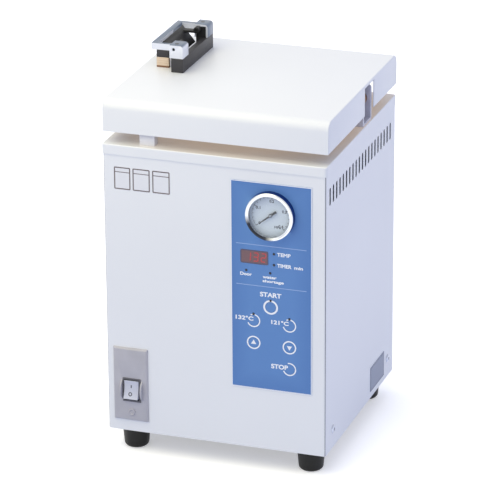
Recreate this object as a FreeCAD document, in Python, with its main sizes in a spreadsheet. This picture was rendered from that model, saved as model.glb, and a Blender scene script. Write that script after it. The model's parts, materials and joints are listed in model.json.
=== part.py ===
import FreeCAD, Part
import os
import re

from FreeCAD import Placement, Rotation, Vector

# A bench autoclave that opens at the top: a sheet metal case on four rubber feet, a control
# panel with a pressure gauge, a steam chamber, and a hinged lid with a squeeze latch.
# +X is to the right of the front, +Y to the back, +Z up. The origin is on the bench, below
# the middle of the case. All lengths are in millimetres and all angles in degrees.

doc = FreeCAD.newDocument("Autoclave")
sheet = doc.addObject("Spreadsheet::Sheet", "Sizes")

sizes = {
    # Clearances
    "fit": 0.2,
    "pin_gap": 0.05,
    "seat_gap": 0.3,
    # Feet
    "foot_height": 32,
    "foot_top_radius": 19,
    "foot_bottom_radius": 16,
    "foot_rounding": 6,
    "foot_inset": 28.5,
    "foot_recess_radius": 6.5,
    "foot_recess_depth": 20,
    "foot_screw_radius": 2.5,
    "foot_screw_head_radius": 5,
    "foot_screw_head_height": 3.5,
    # Case
    "case_width": 300,
    "case_depth": 302,
    "case_height": 398,
    "wall": 1.2,
    "corner_radius": 3,
    "back_return": 12,
    "tray_flange": 36,
    "tray_lip": 12,
    "weld_nut_radius": 6,
    "weld_nut_height": 5,
    "cover_skirt": 13.5,
    "cover_overhang": 1.3,
    "cover_corner": 4,
    "cover_edge": 1.5,
    # Screws of the case
    "case_screw_radius": 2,
    "case_screw_length": 7,
    "case_screw_head_radius": 5.8,
    "case_screw_head_height": 2.2,
    "case_screw_dome": 1.7,
    "side_screw_front": 31.5,
    "side_screw_back": 24,
    "side_screw_height": 26.5,
    "back_screw_height": 30,
    # Cooling slots in the right side
    "slot_count": 20,
    "slot_pitch": 13.9,
    "slot_width": 6,
    "slot_length": 24,
    "slot_top": 33,
    "slot_front": 17,
    # Control panel
    "panel_inset": 72.8,
    "panel_width": 108.5,
    "panel_bottom": 84.5,
    "panel_margin": 42.4,
    "panel_film": 0.8,
    "window_shift": 22.7,
    "window_drop": 59.7,
    "window_width": 37.5,
    "window_length": 18.6,
    "lamp_radius": 1.5,
    "lamp_rise": 0.4,
    "key_radius": 6.8,
    "key_length": 4,
    "key_travel": 0.5,
    "key_column": 24.2,
    "key_lamp_rise": 9.2,
    "start_key_left": 1,
    "start_key_rise": 115.5,
    "high_key_rise": 94.5,
    "low_key_rise": 93,
    "up_key_rise": 64,
    "down_key_rise": 62.8,
    "stop_key_rise": 32.5,
    "lamp_column_gap": 7.6,
    "temp_lamp_rise": 7,
    "timer_lamp_drop": 8,
    "door_lamp_left": 11,
    "door_lamp_drop": 19,
    "water_lamp_right": 21.3,
    "water_lamp_drop": 19.6,
    "window_back": 1,
    "digits_inset": 1,
    "board_depth": 11,
    "board_width": 92,
    "board_thickness": 1.6,
    "board_bottom": 95,
    "board_gap": 8.7,
    "stud_radius": 3,
    "stud_inset": 5,
    "tact_width": 6,
    # Pressure gauge
    "gauge_drop": 71.7,
    "gauge_reach": 11,
    "gauge_case_radius": 30.6,
    "gauge_case_length": 40,
    "gauge_wall": 1.2,
    "bezel_radius": 32.3,
    "bezel_lip": 1.2,
    "bezel_opening": 27.5,
    "bezel_rounding": 1.68,
    "glass_thickness": 1.5,
    "dial_depth": 7,
    "dial_thickness": 0.5,
    "needle_length": 19,
    "needle_tail": 10,
    "needle_tip_half": 0.5,
    "needle_root_half": 1.2,
    "needle_tail_half": 1.7,
    "needle_thickness": 0.6,
    "needle_hub": 2.4,
    "needle_pin": 1,
    "needle_zero": 128,
    "gauge_stem_radius": 7,
    "gauge_stem_length": 18,
    "gauge_pipe_radius": 2,
    "gauge_pipe_bend": 6,
    # Mains switch
    "plate_inset": 33,
    "plate_bottom": 16,
    "plate_width": 47.7,
    "plate_length": 102.5,
    "plate_thickness": 3.5,
    "plate_bevel": 2,
    "switch_shift": 2,
    "switch_height": 60,
    "rib_spacing": 28,
    "rib_thickness": 2,
    "rib_length": 27.5,
    "rib_rise": 7,
    "frame_width": 25,
    "frame_length": 33,
    "frame_flange": 1,
    "frame_depth": 22,
    "frame_wall": 1.1,
    "rocker_width": 19.6,
    "rocker_length": 25,
    "rocker_reach": 9,
    "rocker_hollow": 2.5,
    "rocker_back": 4,
    "rocker_taper": 6,
    "rocker_shoulder": 1,
    "rocker_edge": 0.8,
    "rocker_tilt": 10,
    "rocker_pivot_depth": 0.5,
    "rocker_pin_radius": 1.2,
    # Plate on the right side
    "rating_back": 41.5,
    "rating_bottom": 9,
    "rating_width": 62,
    "rating_length": 34.6,
    "rating_thickness": 0.6,
    # Chamber
    "jacket_gap": 8.8,
    "chamber_radius": 98,
    "chamber_depth": 255,
    "vessel_wall": 2,
    "vessel_floor": 3,
    "flange_radius": 112,
    "flange_thickness": 8,
    "flange_rise": 4,
    "opening_gap": 2,
    "jacket_thickness": 13,
    "jacket_height": 220,
    "jacket_drop": 20,
    "stand_ring": 30,
    "stand_plate": 5,
    "leg_radius": 6,
    "leg_spread": 62,
    "heater_ring": 68,
    "heater_radius": 4,
    "heater_pin_radius": 3.2,
    "heater_rise": 14,
    "heater_lead": 12,
    "heater_tail": 30,
    "grid_rise": 27,
    "grid_thickness": 1.5,
    "grid_hole": 8,
    "grid_inner_count": 6,
    "grid_inner_share": 0.36,
    "grid_outer_count": 12,
    "grid_outer_share": 0.66,
    "grid_post": 3,
    "grid_post_inset": 10,
    "port_offset": 50,
    # Steam outlet, valve and mains inlet
    "pipe_radius": 4.5,
    "pipe_wall": 1,
    "pipe_bend": 15,
    "pipe_drop": 55,
    "valve_gap": 19,
    "valve_width": 34,
    "valve_depth": 40,
    "valve_height": 24,
    "coil_radius": 13,
    "coil_height": 32,
    "outlet_radius": 5,
    "outlet_bore": 3,
    "outlet_reach": 11,
    "outlet_neck": 7,
    "outlet_spigot": 10,
    "inlet_inset": 58,
    "inlet_height": 45,
    "inlet_width": 48,
    "inlet_length": 28,
    "inlet_depth": 26,
    "inlet_flange": 2,
    "socket_width": 24,
    "socket_length": 16,
    "socket_depth": 17,
    "blade_width": 4,
    "blade_thickness": 2,
    "blade_pitch": 7,
    "blade_offset": 1,
    # Hinge
    "hinge_inset": 15,
    "hinge_rise": 29,
    "hinge_pin_radius": 5,
    "hinge_head_radius": 7,
    "hinge_head": 2,
    "ear_radius": 8,
    "ear_thickness": 4,
    "ear_gap": 0.5,
    "ear_reach": 14,
    "ear_rise": 18,
    "ear_rounding": 4,
    "hinge_foot": 30,
    "foot_plate": 3,
    # Strike and door sensor
    "strike_inset": 27,
    "strike_height": 12,
    "strike_radius": 3.5,
    "strike_ear_width": 11,
    "strike_ear": 4,
    "strike_foot_depth": 40,
    "strike_plate": 2,
    "strike_side_gap": 2,
    "sensor_left": 47,
    "sensor_front": 8,
    "sensor_width": 21,
    "sensor_depth": 14,
    "sensor_height": 17,
    "sensor_rounding": 1.5,
    # Lid
    "lid_extra_width": 3,
    "lid_less_depth": 3,
    "lid_shift_x": 0.5,
    "lid_shift_y": 1.5,
    "lid_gap": 15.5,
    "lid_height": 42.5,
    "lid_wall": 1.5,
    "lid_rounding": 13,
    "notch_width": 40,
    "notch_height": 37.5,
    "yoke_width": 28,
    "yoke_height": 14,
    "hook_pin_inset": 20,
    "hook_pin_radius": 4,
    "fork_radius": 7,
    "hook_thickness": 9,
    "hook_side_gap": 0.5,
    "spacer_radius": 5,
    "spacer_x": 70,
    "spacer_y": 8,
    "gasket_radius": 109,
    "gasket_width": 8,
    "gasket_thickness": 4,
    "press_radius": 110,
    "press_thickness": 8,
    "bolt_radius": 6,
    "bolt_boss": 9,
    "bolt_head": 10,
    "bolt_head_height": 6,
    # Latch on the lid
    "latch_inset": 53.8,
    "latch_width": 16.5,
    "latch_front": -18,
    "latch_length": 118.5,
    "latch_height": 19.3,
    "latch_waist": 8.5,
    "cap_length": 22,
    "cap_height": 17.4,
    "cap_wall": 2.5,
    "cap_overlap": 2,
    "cap_rounding": 4,
    "handle_reach": 31,
    "handle_height": 8.5,
    "handle_drop": 4.3,
    "handle_bar": 8,
    "handle_arm": 6,
    "arm_setback": 16,
    "overcut": 1,
    "paddle_pin_radius": 2,
    "paddle_pin_height": 12,
    "paddle_pin_shift": 4.5,
    "paddle_pin_end": 1,
    "knuckle_radius": 4,
    "knuckle_length": 9,
    "paddle_thickness": 3,
    "paddle_top_shift": 28.5,
    "paddle_foot_shift": 10.8,
    "paddle_rise": 1,
    "paddle_drop": 20.5,
    "paddle_end_gap": 0.5,
    "web_inset": 4,
    "web_thickness": 3,
    "shoe_width": 17,
    "shoe_height": 13.7,
    "shoe_shift": 34.2,
    # Lock hook under the lid
    "hook_boss": 7,
    "hook_shank": 5,
    "hook_inner_side": 0.5,
    "hook_nose": 3.7,
    "hook_nose_reach": 3.5,
}

for row, (name, number) in enumerate(sizes.items(), 1):
    sheet.set(f"A{row}", name)
    sheet.set(f"B{row}", str(number))
    sheet.setAlias(f"B{row}", name)
doc.recompute()
ruler = doc.addObject("Part::Vertex", "Ruler")

# Places and sizes that follow from those in the sheet
follows = {
    "panel_middle": "case_width/2 - panel_inset",
    "gauge_height": "case_height - gauge_drop",
    "panel_length": "gauge_height + panel_margin - panel_bottom",
    "window_middle": "panel_middle - window_shift",
    "window_height": "gauge_height - window_drop",
    "board_length": "gauge_height - gauge_case_radius - board_gap - board_bottom",
    "plate_middle": "plate_inset - case_width/2",
    "switch_middle": "plate_middle + switch_shift",
    "rating_front": "case_depth - rating_back - rating_width",
    "chamber_y": "case_depth/2 - wall - jacket_gap - jacket_thickness - vessel_wall - chamber_radius",
    "valve_front": "case_depth/2 - valve_gap - valve_depth",
    "inlet_middle": "inlet_inset - case_width/2",
    "mechanism_y": "chamber_y",
    "hinge_x": "case_width/2 - hinge_inset",
    "strike_x": "strike_inset - case_width/2",
    "lid_width": "case_width + lid_extra_width",
    "lid_depth": "case_depth - lid_less_depth",
    "hook_pin_x": "hook_pin_inset - case_width/2",
    "latch_x": "latch_inset - case_width/2",
    "paddle_pin_x": "latch_x - paddle_pin_shift",
    "paddle_left": "latch_x - paddle_top_shift",
    "paddle_right": "latch_x - paddle_foot_shift",
    "shoe_left": "latch_x - shoe_shift",
}

# Levels and faces that many pieces share
case_floor = "foot_height"
case_top = "(foot_height + case_height)"
front_face = "(-case_depth/2)"
back_face = "(case_depth/2)"
right_face = "(case_width/2)"
panel_front = "(-case_depth/2 - panel_film)"
board_front = "(-case_depth/2 + board_depth)"
flange_top = "(foot_height + case_height + flange_rise)"
vessel_bottom = "(foot_height + case_height + flange_rise - chamber_depth - vessel_floor)"
hinge_z = "(foot_height + case_height + hinge_rise)"
lid_bottom = "(foot_height + case_height + lid_gap)"
lid_top = "(foot_height + case_height + lid_gap + lid_height)"
latch_left = "(latch_x - latch_width/2)"
latch_right = "(latch_x + latch_width/2)"
latch_back = "(latch_front + latch_length)"
arm_front = "(latch_front + arm_setback)"
latch_top = "(foot_height + case_height + lid_gap + lid_height + latch_height)"
paddle_pin_z = "(foot_height + case_height + lid_gap + lid_height + latch_height + paddle_pin_height)"
gauge_front = "(-case_depth/2 - gauge_reach)"
plate_front = "(-case_depth/2 - plate_thickness)"

turn_to = {
    "x": Rotation(Vector(0, 1, 0), 90),
    "y": Rotation(Vector(1, 0, 0), -90),
    "z": Rotation(),
}
pieces = []


def full(expression):
    """Write each size's name with its sheet, and each place that follows as its own expression."""
    def named(found):
        word = found[0]
        if word in follows:
            return f"({full(follows[word])})"
        return "Sizes." + word if word in sizes else word

    return re.sub(r"[a-z]\w*", named, str(expression))


def size(expression):
    """Number of a size, or of an expression of sizes."""
    if expression in sizes:
        return float(sheet.get(expression))
    ruler.setExpression("X", full(expression))
    ruler.recompute()
    return ruler.X.Value


def bind(item, links):
    for key, expression in links.items():
        item.setExpression(key, full(expression))


def place(item, at, along="z"):
    item.Placement = Placement(Vector(), turn_to[along])
    for axis, expression in zip("xyz", at):
        item.setExpression(f".Placement.Base.{axis}", full(expression))
    return item


def box(name, low, span):
    item = doc.addObject("Part::Box", name)
    bind(item, dict(zip(("Length", "Width", "Height"), span)))
    return place(item, low)


def cylinder(name, radius, height, at, along="z"):
    item = doc.addObject("Part::Cylinder", name)
    bind(item, {"Radius": radius, "Height": height})
    return place(item, at, along)


def fuse(name, *items):
    item = doc.addObject("Part::MultiFuse", name)
    item.Shapes = list(items)
    item.Refine = True
    return item


def cut(name, base, *tools):
    item = doc.addObject("Part::Cut", name)
    item.Base = base
    item.Tool = tools[0] if len(tools) == 1 else fuse(name + "_tools", *tools)
    return item


def common(name, first, second):
    item = doc.addObject("Part::Common", name)
    item.Base = first
    item.Tool = second
    return item


def group(name, items):
    item = doc.addObject("Part::Compound", name)
    item.Links = list(items)
    return item


def solid(name, shape, placement=Placement()):
    item = doc.addObject("Part::Feature", name)
    item.Shape = shape
    item.Placement = placement
    return item


def dress(kind, name, base, radius, wanted):
    """Round or bevel the edges of base for which wanted(edge) is true."""
    doc.recompute()
    item = doc.addObject(kind, name)
    item.Base = base
    item.Edges = [(n, radius, radius) for n, edge in enumerate(base.Shape.Edges, 1) if wanted(edge)]
    return item


def rounded(name, base, radius, wanted):
    return dress("Part::Fillet", name, base, radius, wanted)


def bevelled(name, base, radius, wanted):
    return dress("Part::Chamfer", name, base, radius, wanted)


def runs_along(edge, axis):
    """True for a straight edge along the axis."""
    if not isinstance(edge.Curve, Part.Line):
        return False
    return abs(abs(edge.Curve.Direction[axis]) - 1) < 1e-6


def ends_along(shape, axis):
    """Lowest and highest level of a shape along an axis."""
    ends = shape.BoundBox
    return (ends.XMin, ends.YMin, ends.ZMin)[axis], (ends.XMax, ends.YMax, ends.ZMax)[axis]


def lies_at(edge, axis, level):
    """True for an edge that lies wholly at one level of the axis."""
    low, high = ends_along(edge, axis)
    return abs(low - level) < 0.01 and abs(high - level) < 0.01


def extruded(outline, direction):
    """Solid of a closed outline of edges, drawn out along a direction."""
    return Part.Face(Part.Wire(outline)).extrude(direction)


def polygon(points):
    return [Part.LineSegment(a, b).toShape() for a, b in zip(points, points[1:] + points[:1])]


def bent_pipe(points, bend, radius, bore=0):
    """Round pipe through the points, with each corner turned on an arc."""
    edges = []
    start = points[0]
    for before, corner, after in zip(points, points[1:], points[2:]):
        back = (before - corner).normalize()
        ahead = (after - corner).normalize()
        first = corner + back * bend
        last = corner + ahead * bend
        centre = corner + (back + ahead) * bend
        middle = centre + (corner - centre).normalize() * bend
        edges.append(Part.LineSegment(start, first).toShape())
        edges.append(Part.Arc(first, middle, last).toShape())
        start = last
    edges.append(Part.LineSegment(start, points[-1]).toShape())
    path = Part.Wire(edges)
    direction = (points[1] - points[0]).normalize()

    def sweep(section_radius):
        section = Part.Wire(Part.Circle(points[0], direction, section_radius).toShape())
        shell = Part.BRepOffsetAPI.MakePipeShell(path)
        shell.add(section)
        shell.build()
        shell.makeSolid()
        return shell.shape()

    pipe = sweep(radius)
    return pipe.cut(sweep(bore)) if bore else pipe


def piece(item, node):
    item.Label = node
    pieces.append(item)
    return item


def each_corner(x, y):
    """Four places, mirrored about the case's middle."""
    return [(f"{sx}{x}", f"{sy}{y}", f"{way_y}_{way_x}")
            for sy, way_y in (("-", "front"), ("", "back"))
            for sx, way_x in (("-", "left"), ("", "right"))]


foot_places = each_corner("(case_width/2 - foot_inset)", "(case_depth/2 - foot_inset)")


# Feet and bottom tray

def rubber_foot(x, y, where):
    cone = doc.addObject("Part::Cone", "foot_cone")
    bind(cone, {"Radius1": "foot_bottom_radius", "Radius2": "foot_top_radius", "Height": "foot_height"})
    place(cone, (x, y, "0"))
    body = rounded("foot_body", cone, size("foot_rounding"), lambda edge: lies_at(edge, 2, 0))
    recess = cylinder("foot_recess", "foot_recess_radius", "foot_recess_depth", (x, y, "0"))
    bore = cylinder("foot_bore", "foot_screw_radius + fit", "foot_height", (x, y, "0"))
    piece(cut("foot", body, recess, bore), f"foot_{where}")


def foot_screw(x, y):
    head_low = "(foot_recess_depth - foot_screw_head_height)"
    head = cylinder("foot_screw_head", "foot_screw_head_radius", "foot_screw_head_height", (x, y, head_low))
    shank = cylinder("foot_screw_shank", "foot_screw_radius",
                     "foot_height + wall + weld_nut_height - foot_recess_depth", (x, y, "foot_recess_depth"))
    return fuse("foot_screw", head, shank)


def case_screw_places():
    """Where each screw enters the case: (place, axis, sign of the way its head faces)."""
    side_z = "(foot_height + side_screw_height)"
    places = []
    for y in ("(-case_depth/2 + side_screw_front)", "(case_depth/2 - side_screw_back)"):
        places.append(((right_face, y, side_z), "x", 1))
        places.append((("-" + right_face, y, side_z), "x", -1))
    for x in ("(case_width/2 - wall - back_return/2)", "(wall + back_return/2 - case_width/2)"):
        for z in ("(foot_height + back_screw_height)", "(foot_height + case_height - back_screw_height)"):
            places.append(((x, back_face, z), "y", 1))
    return places


def shifted(at, axis, amount):
    """The place, moved along one axis by an expression."""
    return tuple(f"({value} + ({amount}))" if key == axis else value for key, value in zip("xyz", at))


def case_screw_holes(axis_wanted):
    return [cylinder("screw_hole", "case_screw_radius + fit", "4*case_screw_length",
                     shifted(at, axis, "-2*case_screw_length"), axis)
            for at, axis, way in case_screw_places() if axis == axis_wanted]


def case_screws():
    screws = []
    for at, axis, way in case_screw_places():
        head_at = at if way > 0 else shifted(at, axis, "-case_screw_head_height")
        shank_at = shifted(at, axis, "-case_screw_length") if way > 0 else at
        head = cylinder("screw_head", "case_screw_head_radius", "case_screw_head_height", head_at, axis)
        doc.recompute()
        index = "xyz".index(axis)
        low, high = ends_along(head.Shape, index)
        outer = high if way > 0 else low
        dome = rounded("screw_dome", head, size("case_screw_dome"), lambda edge: lies_at(edge, index, outer))
        shank = cylinder("screw_shank", "case_screw_radius", "case_screw_length", shank_at, axis)
        screws.append(fuse("case_screw", dome, shank))
    piece(group("screw_set", screws), "case_screws")


def base_tray():
    half_x = "(case_width/2 - wall - fit)"
    front = "(wall + fit - case_depth/2)"
    depth = "(case_depth - 3*wall - 2*fit)"
    outer = box("tray_outer", ("-" + half_x, front, case_floor), (f"2*{half_x}", depth, "tray_flange"))
    inner = box("tray_inner", (f"(wall - {half_x})", f"({front} + wall)", "(foot_height + wall)"),
                (f"2*{half_x} - 2*wall", f"{depth} - 2*wall", "tray_flange"))
    window = box("tray_window", (f"(wall - {half_x})", f"({front} - wall)", "(foot_height + tray_lip)"),
                 (f"2*{half_x} - 2*wall", f"{depth} + 2*wall", "tray_flange"))
    folded = cut("tray_folded", outer, inner, window)
    nuts = [cylinder("weld_nut", "weld_nut_radius", "weld_nut_height", (x, y, "(foot_height + wall)"))
            for x, y, where in foot_places]
    bores = [cylinder("nut_bore", "foot_screw_radius + fit/2", "4*weld_nut_height",
                      (x, y, "(foot_height - weld_nut_height)"))
             for x, y, where in foot_places]
    piece(cut("tray", fuse("tray_with_nuts", folded, *nuts), *bores, *case_screw_holes("x")), "base_tray")


# Case

def lamp_places():
    """Middle of each indicator lamp on the panel: (x, height above the case's bottom)."""
    keys = key_places()
    above = [(keys[name][0], f"({keys[name][1]} + key_lamp_rise)") for name in ("start", "high", "low")]
    column = "(window_middle + window_width/2 + lamp_column_gap)"
    return [
        (column, "(window_height + temp_lamp_rise)"),
        (column, "(window_height - timer_lamp_drop)"),
        ("(window_middle - door_lamp_left)", "(window_height - door_lamp_drop)"),
        ("(window_middle + water_lamp_right)", "(window_height - water_lamp_drop)"),
    ] + above


def key_places():
    """Middle of each key on the panel: (x, height above the case's bottom)."""
    left = "(panel_middle - key_column)"
    right = "(panel_middle + key_column)"
    return {
        "start": ("(panel_middle - start_key_left)", "(panel_bottom + start_key_rise)"),
        "high": (left, "(panel_bottom + high_key_rise)"),
        "low": (right, "(panel_bottom + low_key_rise)"),
        "up": (left, "(panel_bottom + up_key_rise)"),
        "down": (right, "(panel_bottom + down_key_rise)"),
        "stop": (right, "(panel_bottom + stop_key_rise)"),
    }


def panel_holes(extra):
    """Cutters for everything that comes through the front behind the film."""
    start = "(-case_depth/2 - 2*panel_film)"
    deep = "(2*panel_film + 2*wall)"
    holes = [cylinder("key_hole", f"key_radius + {extra}", deep, (x, start, f"(foot_height + {z})"), "y")
             for x, z in key_places().values()]
    holes += [cylinder("lamp_hole", f"lamp_radius + {extra}", deep, (x, start, f"(foot_height + {z})"), "y")
              for x, z in lamp_places()]
    holes.append(cylinder("gauge_hole", f"gauge_case_radius + {extra}", deep,
                          ("panel_middle", start, "(foot_height + gauge_height)"), "y"))
    holes.append(box("window_hole", (f"(window_middle - window_width/2 - {extra})", start,
                                     f"(foot_height + window_height - window_length/2 - {extra})"),
                     (f"window_width + 2*{extra}", deep, f"window_length + 2*{extra}")))
    return holes


def switch_hole():
    width = "(frame_width - 2*frame_flange + 2*fit)"
    length = "(frame_length - 2*frame_flange + 2*fit)"
    return box("switch_hole", (f"(switch_middle - {width}/2)", "(-case_depth/2 - 2*plate_thickness)",
                               f"(foot_height + switch_height - {length}/2)"),
               (width, "(4*plate_thickness)", length))


def cooling_slots():
    slots = []
    middle_z = "(foot_height + case_height - slot_top - slot_length/2)"
    straight = "(slot_length - slot_width)"
    low_x = "(case_width/2 - 2*wall)"
    for n in range(int(size("slot_count"))):
        y = f"(slot_front + slot_pitch*{n} - case_depth/2)"
        slots.append(box("slot_middle", (low_x, f"({y} - slot_width/2)", f"({middle_z} - {straight}/2)"),
                         ("4*wall", "slot_width", straight)))
        for end in ("-", "+"):
            slots.append(cylinder("slot_end", "slot_width/2", "4*wall",
                                  (low_x, y, f"({middle_z} {end} {straight}/2)"), "x"))
    return slots


def board_studs():
    height = "(board_depth - wall)"
    return [cylinder("board_stud", "stud_radius", height,
                     (f"(panel_middle {sx} (board_width/2 - stud_inset))", "(wall - case_depth/2)",
                      f"(foot_height + board_bottom + {z})"), "y")
            for sx in ("-", "+") for z in ("stud_inset", "(board_length - stud_inset)")]


def case_shell():
    outer = box("shell_outer", ("-" + right_face, front_face, case_floor),
                ("case_width", "case_depth - wall", "case_height - wall"))
    shell = rounded("shell_rounded", outer, size("corner_radius"),
                    lambda edge: runs_along(edge, 2) and edge.CenterOfMass.y < 0)
    inner = box("shell_inner", ("(wall - case_width/2)", "(wall - case_depth/2)", "(foot_height - wall)"),
                ("case_width - 2*wall", "case_depth - 3*wall", "case_height + wall"))
    back = box("shell_back", ("(wall + back_return - case_width/2)", "0", "(foot_height - wall)"),
               ("case_width - 2*wall - 2*back_return", "case_depth", "case_height + wall"))
    hollow = cut("shell_hollow", shell, inner, back)
    with_studs = fuse("shell_with_studs", hollow, *board_studs())
    screw_holes = case_screw_holes("x") + case_screw_holes("y")
    tools = panel_holes("2*fit") + [switch_hole()] + cooling_slots() + screw_holes
    piece(cut("shell", with_studs, *tools), "case_shell")


def rear_panel():
    plate = box("rear_plate", ("-" + right_face, "(case_depth/2 - wall)", case_floor),
                ("case_width", "wall", "case_height - wall"))
    inlet = box("inlet_hole", ("(inlet_middle - inlet_width/2 + inlet_flange - fit)", "0",
                               "(foot_height + inlet_height - inlet_length/2 + inlet_flange - fit)"),
                ("inlet_width - 2*inlet_flange + 2*fit", "case_depth", "inlet_length - 2*inlet_flange + 2*fit"))
    outlet = cylinder("outlet_hole", "outlet_neck + fit", "case_depth",
                      ("0", "0", f"({vessel_bottom} - pipe_drop)"), "y")
    piece(cut("rear", plate, inlet, outlet, *case_screw_holes("y")), "rear_panel")


def top_cover():
    half_x = "(case_width/2 + cover_overhang)"
    half_y = "(case_depth/2 + cover_overhang)"
    low = f"({case_top} - cover_skirt)"
    outer = box("cover_outer", ("-" + half_x, "-" + half_y, low), (f"2*{half_x}", f"2*{half_y}", "cover_skirt"))
    corners = rounded("cover_corners", outer, size("cover_corner"), lambda edge: runs_along(edge, 2))
    top_level = size("foot_height") + size("case_height")
    shaped = rounded("cover_shaped", corners, size("cover_edge"), lambda edge: lies_at(edge, 2, top_level))
    inner = box("cover_inner", (f"(wall - {half_x})", f"(wall - {half_y})", f"({low} - wall)"),
                (f"2*{half_x} - 2*wall", f"2*{half_y} - 2*wall", "cover_skirt"))
    opening = cylinder("cover_opening", "flange_radius + opening_gap", "4*wall",
                       ("0", "chamber_y", f"({case_top} - 2*wall)"))
    piece(cut("cover", shaped, inner, opening), "top_cover")


# Control panel

def control_film():
    film = box("film_sheet", ("(panel_middle - panel_width/2)", panel_front, "(foot_height + panel_bottom)"),
               ("panel_width", "panel_film", "panel_length"))
    piece(cut("film", film, *panel_holes("fit")), "control_film")


def display_window():
    depth = "(panel_film + wall + window_back)"
    piece(box("window", ("(window_middle - window_width/2)", panel_front,
                         "(foot_height + window_height - window_length/2)"),
              ("window_width", depth, "window_length")), "display_window")


def indicator_lamps():
    lamps = [cylinder("lamp", "lamp_radius", "board_depth + panel_film + lamp_rise",
                      (x, f"({panel_front} - lamp_rise)", f"(foot_height + {z})"), "y")
             for x, z in lamp_places()]
    piece(group("lamp_set", lamps), "indicator_lamps")


def keys():
    for name, (x, z) in key_places().items():
        piece(cylinder("key", "key_radius", "key_length",
                       (x, panel_front, f"(foot_height + {z})"), "y"), f"key_{name}")


def control_board():
    board = box("board_plate", ("(panel_middle - board_width/2)", board_front, "(foot_height + board_bottom)"),
                ("board_width", "board_thickness", "board_length"))
    tact_front = f"({panel_front} + key_length + key_travel + fit)"
    tacts = [box("tact", (f"({x} - tact_width/2)", tact_front, f"(foot_height + {z} - tact_width/2)"),
                 ("tact_width", f"{board_front} - {tact_front}", "tact_width"))
             for x, z in key_places().values()]
    digits_front = f"({panel_front} + panel_film + wall + window_back)"
    digits = box("digits", ("(window_middle - window_width/2 + digits_inset)", digits_front,
                            "(foot_height + window_height - window_length/2 + digits_inset)"),
                 ("window_width - 2*digits_inset", f"{board_front} - {digits_front}",
                  "window_length - 2*digits_inset"))
    piece(fuse("board", board, digits, *tacts), "control_board")


# Pressure gauge

def gauge():
    x = "panel_middle"
    z = "(foot_height + gauge_height)"
    glass_y = f"({gauge_front} + bezel_lip)"
    well_y = f"({glass_y} + glass_thickness)"
    dial_back = f"({well_y} + dial_depth)"
    can_end = f"({well_y} + gauge_case_length)"

    rim = cylinder("bezel_rim", "bezel_radius", f"{panel_front} - {gauge_front}", (x, gauge_front, z), "y")
    bore = cylinder("bezel_bore", "gauge_case_radius", "gauge_case_length", (x, glass_y, z), "y")
    opening = cylinder("bezel_sight", "bezel_opening", "3*bezel_lip", (x, f"({gauge_front} - bezel_lip)", z), "y")
    front_level = -size("case_depth") / 2 - size("gauge_reach")
    soft_rim = rounded("bezel_soft", rim, size("bezel_rounding"), lambda edge: lies_at(edge, 1, front_level))
    piece(cut("bezel", soft_rim, bore, opening), "gauge_bezel")

    piece(cylinder("gauge_glass", "gauge_case_radius", "glass_thickness", (x, glass_y, z), "y"), "gauge_glass")

    can = cylinder("can_outer", "gauge_case_radius", "gauge_case_length", (x, well_y, z), "y")
    stem = cylinder("can_stem", "gauge_stem_radius", "gauge_stem_length", (x, can_end, z), "y")
    well = cylinder("can_well", "gauge_case_radius - gauge_wall", "dial_depth", (x, well_y, z), "y")
    piece(cut("can", fuse("can_body", can, stem), well), "gauge_case")

    dial = cylinder("dial_disc", "gauge_case_radius - gauge_wall - fit", "dial_thickness",
                    (x, f"({dial_back} - dial_thickness)", z), "y")
    spindle = cylinder("dial_spindle", "needle_pin", "dial_depth/2", (x, f"({dial_back} - dial_depth/2)", z), "y")
    piece(fuse("dial", dial, spindle), "gauge_dial")
    needle()


def needle():
    tip = size("needle_length")
    tail = size("needle_tail")
    thick = Vector(0, size("needle_thickness"), 0)
    right = [Vector(size("needle_tip_half"), 0, tip), Vector(size("needle_root_half"), 0, 0),
             Vector(size("needle_tail_half"), 0, -tail)]
    left = [Vector(-corner.x, 0, corner.z) for corner in reversed(right)]
    pointer = extruded(polygon(right + left), thick)
    hub = Part.makeCylinder(size("needle_hub"), 3 * size("needle_thickness"), Vector(), Vector(0, 1, 0))
    deep = size("dial_depth")
    bore = Part.makeCylinder(size("needle_pin") + size("pin_gap"), 2 * deep, Vector(0, -deep, 0), Vector(0, 1, 0))
    depth = (-size("case_depth") / 2 - size("gauge_reach") + size("bezel_lip") + size("glass_thickness")
             + size("dial_depth") / 2 + size("seat_gap"))
    where = Vector(size("panel_middle"), depth, size("foot_height") + size("gauge_height"))
    turn = Rotation(Vector(0, 1, 0), -size("needle_zero"))
    piece(solid("needle", pointer.fuse(hub).cut(bore).removeSplitter(), Placement(where, turn)), "gauge_needle")


def gauge_pipe():
    stem_end = (-size("case_depth") / 2 - size("gauge_reach") + size("bezel_lip") + size("glass_thickness")
                + size("gauge_case_length") + size("gauge_stem_length"))
    bottom = size(vessel_bottom)
    x = size("panel_middle")
    down_y = stem_end + 1.5 * size("gauge_pipe_bend")
    low_z = bottom - 4 * size("gauge_pipe_bend")
    port_y = size("chamber_y") - size("port_offset")
    points = [
        Vector(x, stem_end, size("foot_height") + size("gauge_height")),
        Vector(x, down_y, size("foot_height") + size("gauge_height")),
        Vector(x, down_y, low_z),
        Vector(x, port_y, low_z),
        Vector(x / 2, port_y, low_z),
        Vector(x / 2, port_y, bottom),
    ]
    piece(solid("gauge_line", bent_pipe(points, size("gauge_pipe_bend"), size("gauge_pipe_radius"))), "gauge_pipe")


# Mains switch on the front

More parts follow.
